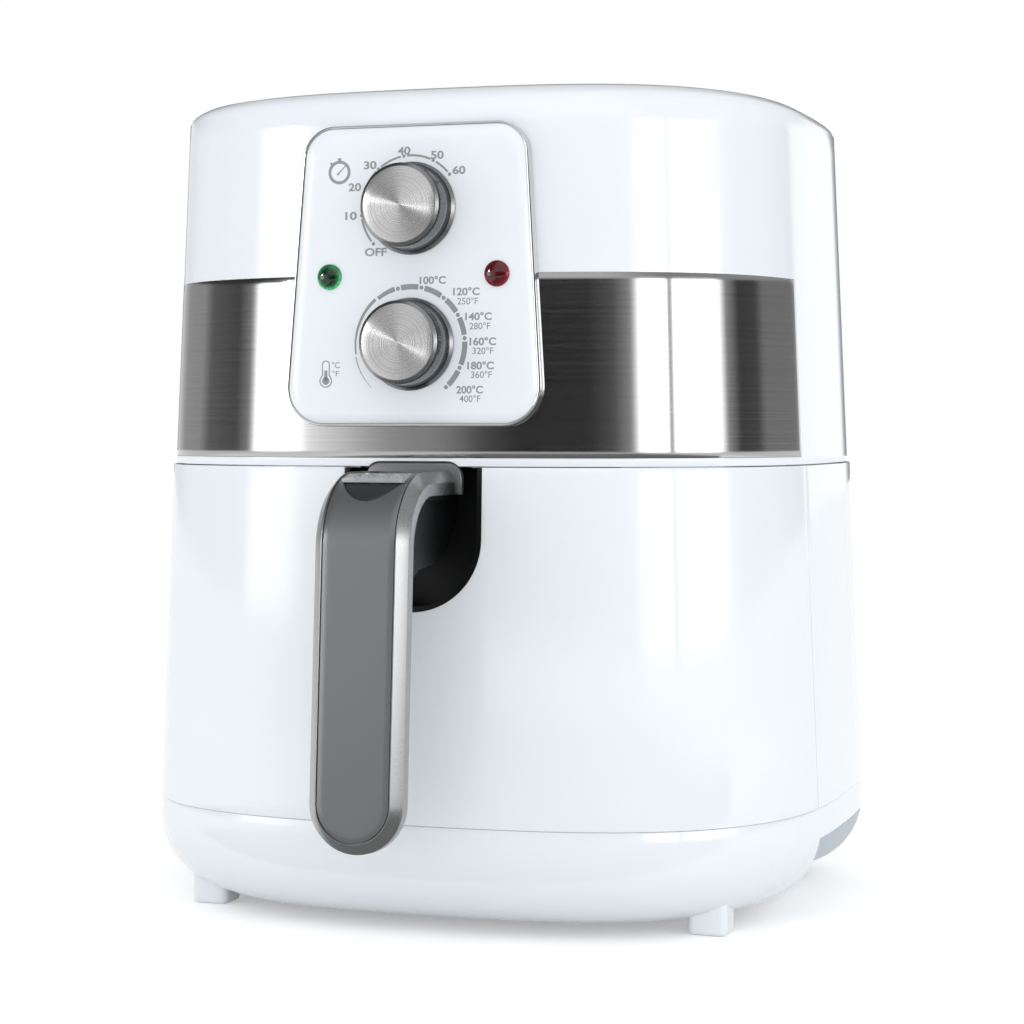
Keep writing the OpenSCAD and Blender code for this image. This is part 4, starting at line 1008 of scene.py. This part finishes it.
# %% Timer scale
TIMER = (-0.8, DIALS[0][1] - PANEL_Z + 0.3)
RING = 20.9
bm = bmesh.new()
minutes = [222, 187, 157, 131, 98, 63, 38]
for start, stop in zip(minutes, minutes[1:]):
    stroke(bm, arc(TIMER, RING, start - 3.6, stop + 3.6), 0.85)
for angle in minutes:
    dot(bm, arc(TIMER, RING, angle, angle, 1)[0], 0.72)
for text, middle, wide in (("OFF", (-15.3, 9.2), 9.3), ("10", (-26.1, 23.9), 5.0),
                           ("20", (-24.6, 35.4), 5.4), ("30", (-18.1, 44.0), 5.4),
                           ("40", (-3.7, 49.3), 5.4), ("50", (10.4, 47.2), 5.4),
                           ("60", (19.6, 40.9), 5.4)):
    figures(bm, text, middle, wide, 3.3)
watch = (-31.3, 41.5)
stroke(bm, arc(watch, 4.15, 0, 360, 48), 1.25)
stroke(bm, [(watch[0] - 0.9, watch[1] - 1.1), watch, (watch[0] + 2.5, watch[1] + 2.5)], 0.9, 0.3)
stroke(bm, [(watch[0], watch[1] + 4.5), (watch[0], watch[1] + 5.7)], 0.9, 2.0)
stroke(bm, [(watch[0] - 3.2, watch[1] + 3.2), (watch[0] - 3.9, watch[1] + 3.9)], 0.9)
printed("timer_print", bm)

# %% Temperature scale
HEAT = (0, DIALS[1][1] - PANEL_Z)
OUTER = 24.0                 # the outer edge of every segment
bm = bmesh.new()
stroke(bm, arc(HEAT, OUTER - 0.2, 226, 192), 0.2, 0.5)
stroke(bm, arc(HEAT, OUTER - 0.45, 189, 130, 40), 0.6, 1.4)
stroke(bm, arc(HEAT, OUTER - 0.85, 127.5, 107.5), 1.5, 2.0)
degrees_at = [104.2, 79, 53, 30, 5.5, -24.5, -48.5]
for start, stop in zip(degrees_at, degrees_at[1:]):
    stroke(bm, arc(HEAT, OUTER - 1.1, start - 3.4, stop + 3.4), 2.2)
for angle in degrees_at:
    dot(bm, arc(HEAT, OUTER - 1.1, angle, angle, 1)[0], 0.85)
for text, x, y in (("100°C", 9.1, -2.4), ("120°C", 23.3, -7.1),
                   ("140°C", 28.5, -17.0), ("160°C", 30.4, -26.9),
                   ("180°C", 29.6, -36.4), ("200°C", 25.1, -45.9)):
    figures(bm, text, (x, y), 11.1, 3.25)
for text, x, y in (("250°F", 23.9, -10.9), ("280°F", 29.1, -20.8),
                   ("320°F", 30.5, -30.6), ("360°F", 30.0, -40.0),
                   ("400°F", 25.3, -49.5)):
    figures(bm, text, (x, y), 8.7, 2.8, 0.008)
bulb = Vector((-36.2, -42.2))
tube = (bulb.x, bulb.y + 6.5)
neck = degrees(atan2(2.15, 1.5))
glass = ([(bulb.x + 1.5, bulb.y + 4)] + arc(tube, 1.5, 0, 180, 12)
         + arc(bulb, 2.5, 180 - neck, 360 + neck, 30) + [(bulb.x + 1.5, bulb.y + 4)])
stroke(bm, glass, 0.5)
dot(bm, bulb, 1.6)
stroke(bm, [bulb, (bulb.x, bulb.y + 4.2)], 1.3)
figures(bm, "°C", (bulb.x + 4.3, bulb.y + 6.4), 3.4, 2.6, 0.012)
figures(bm, "°F", (bulb.x + 4.2, bulb.y + 3.0), 3.0, 2.3, 0.008)
printed("temperature_print", bm)

# %% [markdown]
# ## Handle
#
# The handle is a strap that leaves the drawer level, bends down and ends round. A place on it is
# given by s, how far along its face, x, how far across, and d, how deep below the face. Each
# part of it is a stack of such outlines, one inside or below the other, ending on the middle
# line so that it closes. That keeps the face smooth over the bend.

# %% Places on the handle
HALF_W = 19.15
ARM_BACK, ARM_Z = -137, 188.3
BEND_Y, BEND_R = -166.5, 30
GRIP_LEAN = 4
GRIP_LOW = 44.5
turn = 90 - GRIP_LEAN
arm_long = ARM_BACK - BEND_Y
bend_long = BEND_R * radians(turn)
bend_end = Vector((BEND_Y + BEND_R * cos(radians(90 + turn)),
                   ARM_Z - BEND_R + BEND_R * sin(radians(90 + turn))))
path_long = arm_long + bend_long + (bend_end.y - GRIP_LOW) / cos(radians(GRIP_LEAN))
round_start = path_long - HALF_W


def handle_point(s, x, d):
    if s < arm_long:
        return Vector((x, BODY_Y + ARM_BACK - s, ARM_Z - d))
    if s < arm_long + bend_long:
        a = pi / 2 + (s - arm_long) / BEND_R
        return Vector((x, BODY_Y + BEND_Y + (BEND_R - d) * cos(a),
                       ARM_Z - BEND_R + (BEND_R - d) * sin(a)))
    t, a = s - arm_long - bend_long, radians(90 + turn)
    lean = radians(GRIP_LEAN)
    return Vector((x, BODY_Y + bend_end.x - d * cos(a) - t * sin(lean),
                   bend_end.y - d * sin(a) - t * cos(lean)))


def strap(outlines, start=0):
    """A closed solid between outlines (inset, depth); it begins and ends on the middle line."""
    full = [(HALF_W, outlines[0][1])]
    full += [(HALF_W * (1 - k / 4) + outlines[0][0] * k / 4, outlines[0][1]) for k in (1, 2, 3)]
    full += outlines
    full += [(outlines[-1][0] * (1 - k / 6) + HALF_W * k / 6, outlines[-1][1])
             for k in range(1, 7)]
    straight = steps(0, arm_long, 12)[:-1] + steps(arm_long, arm_long + bend_long, 44)
    straight += steps(arm_long + bend_long, round_start, 20)[1:-1]
    side = [(s, 0) for s in straight] + [(None, a) for a in steps(0, 90, 20)]
    whole = [(s, a, -1) for s, a in side] + [(s, a, 1) for s, a in reversed(side)]

    def place(i, j):
        s, a, hand = whole[i]
        inset, depth = full[j]
        r = HALF_W - inset
        if s is None:
            a = radians(a)
            return handle_point(round_start + r * sin(a), hand * r * cos(a), depth)
        return handle_point(max(s, start), hand * r, depth)

    bm = sheet(len(whole), len(full), place)
    bmesh.ops.holes_fill(bm, edges=[e for e in bm.edges if e.is_boundary], sides=0)
    bmesh.ops.recalc_face_normals(bm, faces=bm.faces)
    return bm


print("the handle's face is", round(path_long, 1), "mm long")

# %% [markdown]
# ### Cutting one shape from another
#
# The button's well and the guard's slot are cut through the strap. A Boolean modifier does it:
# both shapes become objects for a moment, the modifier is evaluated, and its result comes back
# as a bmesh in millimetres.

# %% Cut and block
def solid_object(bm):
    bmesh.ops.recalc_face_normals(bm, faces=bm.faces)
    mesh = bpy.data.meshes.new("working_shape")
    bm.to_mesh(mesh)
    bm.free()
    holder = bpy.data.objects.new("working_shape", mesh)
    scene.collection.objects.link(holder)
    return holder


def combined(bm, tool, way="DIFFERENCE"):
    first, second = solid_object(bm), solid_object(tool)
    modifier = first.modifiers.new("joint", "BOOLEAN")
    modifier.operation, modifier.solver, modifier.object = way, "EXACT", second
    result = bmesh.new()
    result.from_object(first, bpy.context.evaluated_depsgraph_get())
    for holder in (first, second):
        mesh = holder.data
        bpy.data.objects.remove(holder)
        bpy.data.meshes.remove(mesh)
    return result


def block(low, high):
    """A box from its low corner to its high one."""
    bm = bmesh.new()
    bmesh.ops.create_cube(bm, size=1)
    size = Vector(high) - Vector(low)
    bmesh.ops.transform(bm, verts=bm.verts, matrix=Matrix.Translation(
        (Vector(high) + Vector(low)) / 2) @ Matrix.Diagonal((*size, 1)))
    return bm


BUTTON = Vector((0, BODY_Y - 176.5, 0))
BUTTON_R = 12.1
CLEAR = 0.4                  # gap round the button and beside the guard
WELL_LOW = 168
TRACK_Z = 184.2              # floor of the slot that the guard slides in
GUARD_HALF = 12.4


def rod(radius, low, long, count):
    """An upright cylinder on the button's axis."""
    bm = bmesh.new()
    bmesh.ops.create_cone(bm, cap_ends=True, segments=count, radius1=radius, radius2=radius,
                          depth=long,
                          matrix=Matrix.Translation(BUTTON + Vector((0, 0, low + long / 2))))
    return bm


def well(low):
    return rod(BUTTON_R + CLEAR, low, 60, 96)


def opened(bm):
    """A strap with the button's well and the guard's slot cut through it."""
    slot = block((-GUARD_HALF - CLEAR, BODY_Y - 200, TRACK_Z),
                 (GUARD_HALF + CLEAR, BODY_Y + ARM_BACK - 3, TRACK_Z + 20))
    return combined(combined(bm, well(150)), slot)


# %% [markdown]
# ### Frame, insert and core
#
# The frame is a satin metal strap with a flat chamfer all round. A fine radius along the
# chamfer's edges gives the thin light lines there. The darker insert lies in it with a hair of a
# gap, and the black core closes its back.

# %% Frame
bm = strap([(2.2, 4.0), (2.2, 9.3), (0.3, 9.3), (0, 9.0), (0, 4.75), (0.05, 4.45), (0.2, 4.18),
            (3.62, 0.24), (3.78, 0.08), (3.95, 0.02), (4.12, 0.04), (4.25, 0.2), (4.25, 1.6)])
piece("handle_frame_strap", opened(bm), "drawer", "silver_paint", ["handle_frame"])

# %% Insert
bm = strap([(4.6, 1.55), (4.6, 0.6), (4.68, 0.42), (4.85, 0.33)], 0.6)
piece("handle_insert_plate", opened(bm), "drawer", "gunmetal_paint", ["handle_insert"])

# %% Core
GUSSET = Vector((-158.4, 186))
GUSSET_R = 34.2
WEB_HALF, WEB_DEEP = 15, 4.1     # half its width, and how far it lies below the face
line = [(GUSSET.x - 34, 142), (GUSSET.x - 12, GUSSET.y - GUSSET_R - 1)]
line += arc(GUSSET, GUSSET_R, -90, -9, 40)
line += [(GUSSET.x + GUSSET_R, ARM_Z - WEB_DEEP), (BEND_Y, ARM_Z - WEB_DEEP)]
line += arc((BEND_Y, ARM_Z - BEND_R), BEND_R - WEB_DEEP, 90, 90 + turn)[1:]
line += [(bend_end.x + WEB_DEEP, 148)]
web = prism([(-WEB_HALF, BODY_Y + y, z) for y, z in line], (2 * WEB_HALF, 0, 0))
edges = [e for e in web.edges if abs(e.verts[0].co.x - e.verts[1].co.x) < 1
         and e.calc_length() < 5 and min(v.co.y for v in e.verts) > BODY_Y + GUSSET.x - 5
         and max(v.co.z for v in e.verts) < ARM_Z - 4.2]
rounded(web, edges, 0.7, 3)
bm = strap([(2.5, 4.1), (2.5, 10.3), (2.8, 11.1), (3.6, 11.5)], 2.4)
bm = combined(combined(bm, web, "UNION"), well(WELL_LOW))
bracket_slot = block((-13.1, BODY_Y - 134.1, 181.8), (13.1, BODY_Y - 94, 183.8))
spring_seat = rod(5.4, WELL_LOW - 6, 7, 48)      # narrower than the well above it
bm = combined(combined(bm, bracket_slot), spring_seat)
piece("handle_core_back", bm, "drawer", "black_plastic", ["handle_core"])

# %% [markdown]
# ### Root
#
# Where the arm meets the wall, a low hump with round corners fills the notch in the upper
# housing. Its front edge is rounded.

# %% Root
bm = bmesh.new()
half, high, corner = 20.4, 191.7, 6.0
ROOT_LOW, ROOT_DEEP = 179, 2.6
bm.faces.new([bm.verts.new((x, 0, z)) for x, z in
              ((-half, ROOT_LOW), (half, ROOT_LOW), (half, high), (-half, high))])
for v in [v for v in bm.verts if v.co.z > ROOT_LOW + 1]:
    rounded(bm, [v], corner, 12, "VERTICES")
grow(bm, (0, -ROOT_DEEP, 0))
bm.normal_update()
edges = [e for e in bm.edges
         if all(v.co.y < 0.1 - ROOT_DEEP and v.co.z > ROOT_LOW + 1 for v in e.verts)]
rounded(bm, edges, 0.8, 4)
bmesh.ops.translate(bm, verts=bm.verts, vec=(0, BODY_Y - 134.3, 0))
bm = combined(bm, block((-15.1, BODY_Y - 140, 170), (15.1, BODY_Y - 130, ARM_Z - 4)))
piece("handle_root_hump", bm, "drawer", "gunmetal_paint", ["handle_root"])

# %% [markdown]
# ### Button and guard
#
# The thumb button fills its well and follows the bend a little below the face, so it shows as a
# half moon below the clear guard. The guard is a small clear slide with cross ribs; it covers
# the button until the thumb pushes it back.

# %% Button
bm = bmesh.new()
rings = steps(BUTTON_R, 0, 22)
bmesh.ops.create_circle(bm, cap_ends=True, segments=96, radius=BUTTON_R,
                        matrix=Matrix.Translation(BUTTON))
lid = bm.faces[:]
for a, b in zip(rings, rings[1:-1]):
    bmesh.ops.inset_region(bm, faces=lid, thickness=a - b, use_boundary=True)
under = bmesh.ops.extrude_face_region(bm, geom=bm.faces[:])["geom"]
upper = [g for g in under if isinstance(g, bmesh.types.BMVert)]
for v in bm.verts:
    if v in upper:
        drop = v.co.y - BODY_Y - BEND_Y
        face_z = ARM_Z - BEND_R + sqrt(BEND_R ** 2 - min(drop, 0) ** 2)
        rim = (v.co - BUTTON).to_2d().length
        v.co.z = min(TRACK_Z - 0.2, face_z - 0.5 - (0.35 if rim > BUTTON_R - 0.1 else 0))
    else:
        v.co.z = 173
piece("button_cap", bm, "thumb_button", "button_plastic", ["release_button"])

# %% Guard
GUARD_Y = (-182.2, -157.5)
GUARD_LOW = 184.6
line = [(-GUARD_HALF, 0), (-GUARD_HALF, 1.5), (-GUARD_HALF + 0.3, 1.7)]
for x in (-9, -3, 3, 9):
    line += [(x - 2.0, 1.7), (x - 1.5, 2.0), (x - 1.0, 2.9), (x, 3.3), (x + 1.0, 2.9),
             (x + 1.5, 2.0), (x + 2.0, 1.7)]
line += [(GUARD_HALF - 0.3, 1.7), (GUARD_HALF, 1.5), (GUARD_HALF, 0)]
bm = prism([(x, BODY_Y + GUARD_Y[0], GUARD_LOW + h) for x, h in line],
           (0, GUARD_Y[1] - GUARD_Y[0], 0))
edges = [e for e in bm.edges if abs(e.verts[0].co.y - e.verts[1].co.y) < 0.01]
rounded(bm, edges, 0.15, 2)
piece("button_guard_slide", bm, "sliding_guard", "clear_plastic", ["button_guard"])

# %% [markdown]
# ## Pocket
#
# The dark pocket behind the handle gives the fingers room. It is one deep tray with a round
# bottom, open in front and above; its front edge lies a little behind the white wall.

# %% Pocket
POCKET_R = 29.2


def tray(radius, top, back, deep):
    """A block with a round bottom, from y = back towards the front."""
    line = [(radius, top)] + arc((0, POCKET_CENTRE), radius, 0, -180, 60) + [(-radius, top)]
    return prism([(x, BODY_Y + back, z) for x, z in line], (0, -deep, 0))


bm = combined(tray(POCKET_R, DRAWER_Z[1] - 0.4, -122, 20), tray(POCKET_R - 2, 230, -124, 40))
front_cut = block((-40, 0, 120), (40, 0.001, 240))
for v in front_cut.verts:
    reach = at_x(v.co.x if abs(v.co.x) < 31 else 29, v.co.z, LOWER_OUT - 0.6)
    v.co.y = BODY_Y - (reach if v.co.y > 0.0005 else 200)
bm = combined(bm, front_cut)
bm = combined(bm, block((-14, BODY_Y - 129, 180.5), (14, BODY_Y - 109, 211)))
piece("pocket_tray", bm, "drawer", "black_plastic", ["pocket_liner"])

# %% [markdown]
# ## Inside the drawer
#
# The pan and the basket are drawn steel bowls with a non-stick coating. Each is a loft of
# rounded squares through a profile of (growth, height). The pan's runs from under its floor up
# the outside and down the inside; the basket's is a closed ring, since its floor is a solid of
# its own. The basket's slots are cut afterwards with one set of blocks.

# %% Rounded squares
PAN_HALF = (116, 114, 50)    # half width, half depth and corner radius
PAN_Y = BODY_Y - 4
PAN_LOW, PAN_HIGH = 50, 180
ROUND_COUNT = 136            # points round a bowl


def squircle(more, i):
    """Point i round a rounded square that has grown by more."""
    a, b, r = (k + more for k in PAN_HALF)
    per = ROUND_COUNT // 4
    quarter, k = divmod(i % ROUND_COUNT, per)
    turn = radians(-90 + 90 * quarter)
    corners = [(a - r, -b + r), (a - r, b - r), (-a + r, b - r), (-a + r, -b + r)]
    if k < 10:               # the flat that leads to this corner
        before = corners[quarter - 1]
        start = Vector(before) + r * Vector((cos(turn), sin(turn)))
        end = Vector(corners[quarter]) + r * Vector((cos(turn), sin(turn)))
        return start + (end - start) * k / 10
    angle = turn + pi / 2 * (k - 10) / (per - 10)
    return Vector(corners[quarter]) + r * Vector((cos(angle), sin(angle)))


def bowl(profile):
    """A loft through (growth, height) rings, closed across its ends."""
    def place(i, j):
        at = squircle(profile[j][0], i)
        return Vector((at.x, at.y + PAN_Y, profile[j][1]))

    bm = sheet(ROUND_COUNT + 1, len(profile), place)
    bmesh.ops.holes_fill(bm, edges=[e for e in bm.edges if e.is_boundary], sides=0)
    bmesh.ops.recalc_face_normals(bm, faces=bm.faces)
    return bm


# %% Pan
outer = smooth_line([(-14.5, PAN_LOW), (-13, PAN_LOW), (-9.4, PAN_LOW + 1.6),
                     (-6, PAN_LOW + 7)], 5)
outer += [(-1.2, PAN_HIGH - 6), (-1.2, PAN_HIGH - 2.4), (-0.9, PAN_HIGH - 1.8),
          (1.7, PAN_HIGH - 1.8), (2, PAN_HIGH - 1.5), (2, PAN_HIGH - 0.3), (1.7, PAN_HIGH),
          (-1.9, PAN_HIGH), (-2.6, PAN_HIGH - 0.3), (-3, PAN_HIGH - 1.2)]
outer += smooth_line([(-7.6, PAN_LOW + 7.6), (-10.6, PAN_LOW + 3), (-14.4, PAN_LOW + 1.6),
                      (-20, PAN_LOW + 1.6)], 5)
bm = bowl([(-60, PAN_LOW)] + outer + [(-60, PAN_LOW + 1.6)])
front = PAN_Y - PAN_HALF[1]
tab = block((-60, front - 9, PAN_HIGH - 1.8), (60, front + 1, PAN_HIGH - 0.02))
rounded(tab, [e for e in tab.edges if abs(e.verts[0].co.z - e.verts[1].co.z) > 1], 4, 6)
bm = combined(bm, tab, "UNION")
bm = combined(bm, block((-29.6, front - 10, PAN_HIGH - 3), (29.6, front - 2.5, PAN_HIGH + 3)))
piece("pan_bowl", bm, "drawer", "nonstick", ["pan"])

# %% Basket
RIM = -5.5                   # the basket's growth at its rim
line = [(RIM - 10.4, 59.4), (RIM - 9.5, 58), (RIM - 9, 58)]
line += smooth_line([(RIM - 8.4, 58.2), (RIM - 6.4, 59.8), (RIM - 5.4, 62.5)], 4)
line += [(RIM - 5.2, 66), (RIM - 4.2, 92), (RIM - 0.8, 177), (RIM - 0.8, 179.6), (RIM - 0.4, 180),
         (RIM + 4.2, 180), (RIM + 4.6, 180.3), (RIM + 4.6, 181.5), (RIM + 4.3, 181.8),
         (RIM - 1.8, 181.8), (RIM - 2.4, 181.5), (RIM - 2.8, 180.4)]
line += smooth_line([(RIM - 6.9, 61.9), (RIM - 8, 60.6), (RIM - 10.4, 59.4)], 4)
bm = bowl(line)
SLOT_HALF, SLOT_APART = 2, 11
SLOT_Z = (66, 92)
slots = bmesh.new()
for quarter in range(4):
    for i in range(-5, 6):
        x = i * SLOT_APART
        one = block((x - SLOT_HALF, 88, SLOT_Z[0]), (x + SLOT_HALF, 118, SLOT_Z[1]))
        rims = [e for e in one.edges if abs(e.verts[0].co.y - e.verts[1].co.y) > 1]
        rounded(one, rims, SLOT_HALF - 0.1, 4)
        one.transform(Matrix.Translation((0, PAN_Y, 0))
                      @ Matrix.Rotation(pi / 2 * quarter, 4, "Z"))
        holder = bpy.data.meshes.new("one_slot")
        one.to_mesh(holder)
        one.free()
        slots.from_mesh(holder)
        bpy.data.meshes.remove(holder)
bm = combined(bm, slots)
piece("basket_sleeve", bm, "drawer", "nonstick", ["basket"])

# %% [markdown]
# ### Shelf of the drawer front
#
# The drawer front rests on the pan's flange with a shelf that follows the wall outside and the
# pan inside. It is white like the wall and shows only when the drawer is pulled out.

# %% Shelf
SHELF_Z = (180.05, 183)      # just above the pan's flange
bm = block((-150, BODY_Y - 145, SHELF_Z[0]), (150, BODY_Y - 92.05, SHELF_Z[1]))
ring = [body_point(c, 181.5, LOWER_OUT - 1.2) for c in steps(-0.98, 0.98, 160)]
bm = combined(bm, prism([(p.x, p.y, 178) for p in ring], (0, 0, 10)), "INTERSECT")
ring = [squircle(3, i) for i in range(ROUND_COUNT)]
bm = combined(bm, prism([(p.x, p.y + PAN_Y, 170) for p in ring], (0, 0, 30)))
bm = combined(bm, block((-29.4, BODY_Y - 160, 170), (29.4, BODY_Y - 80, 200)))
piece("drawer_shelf", bm, "drawer", "white_housing", ["drawer_front"])
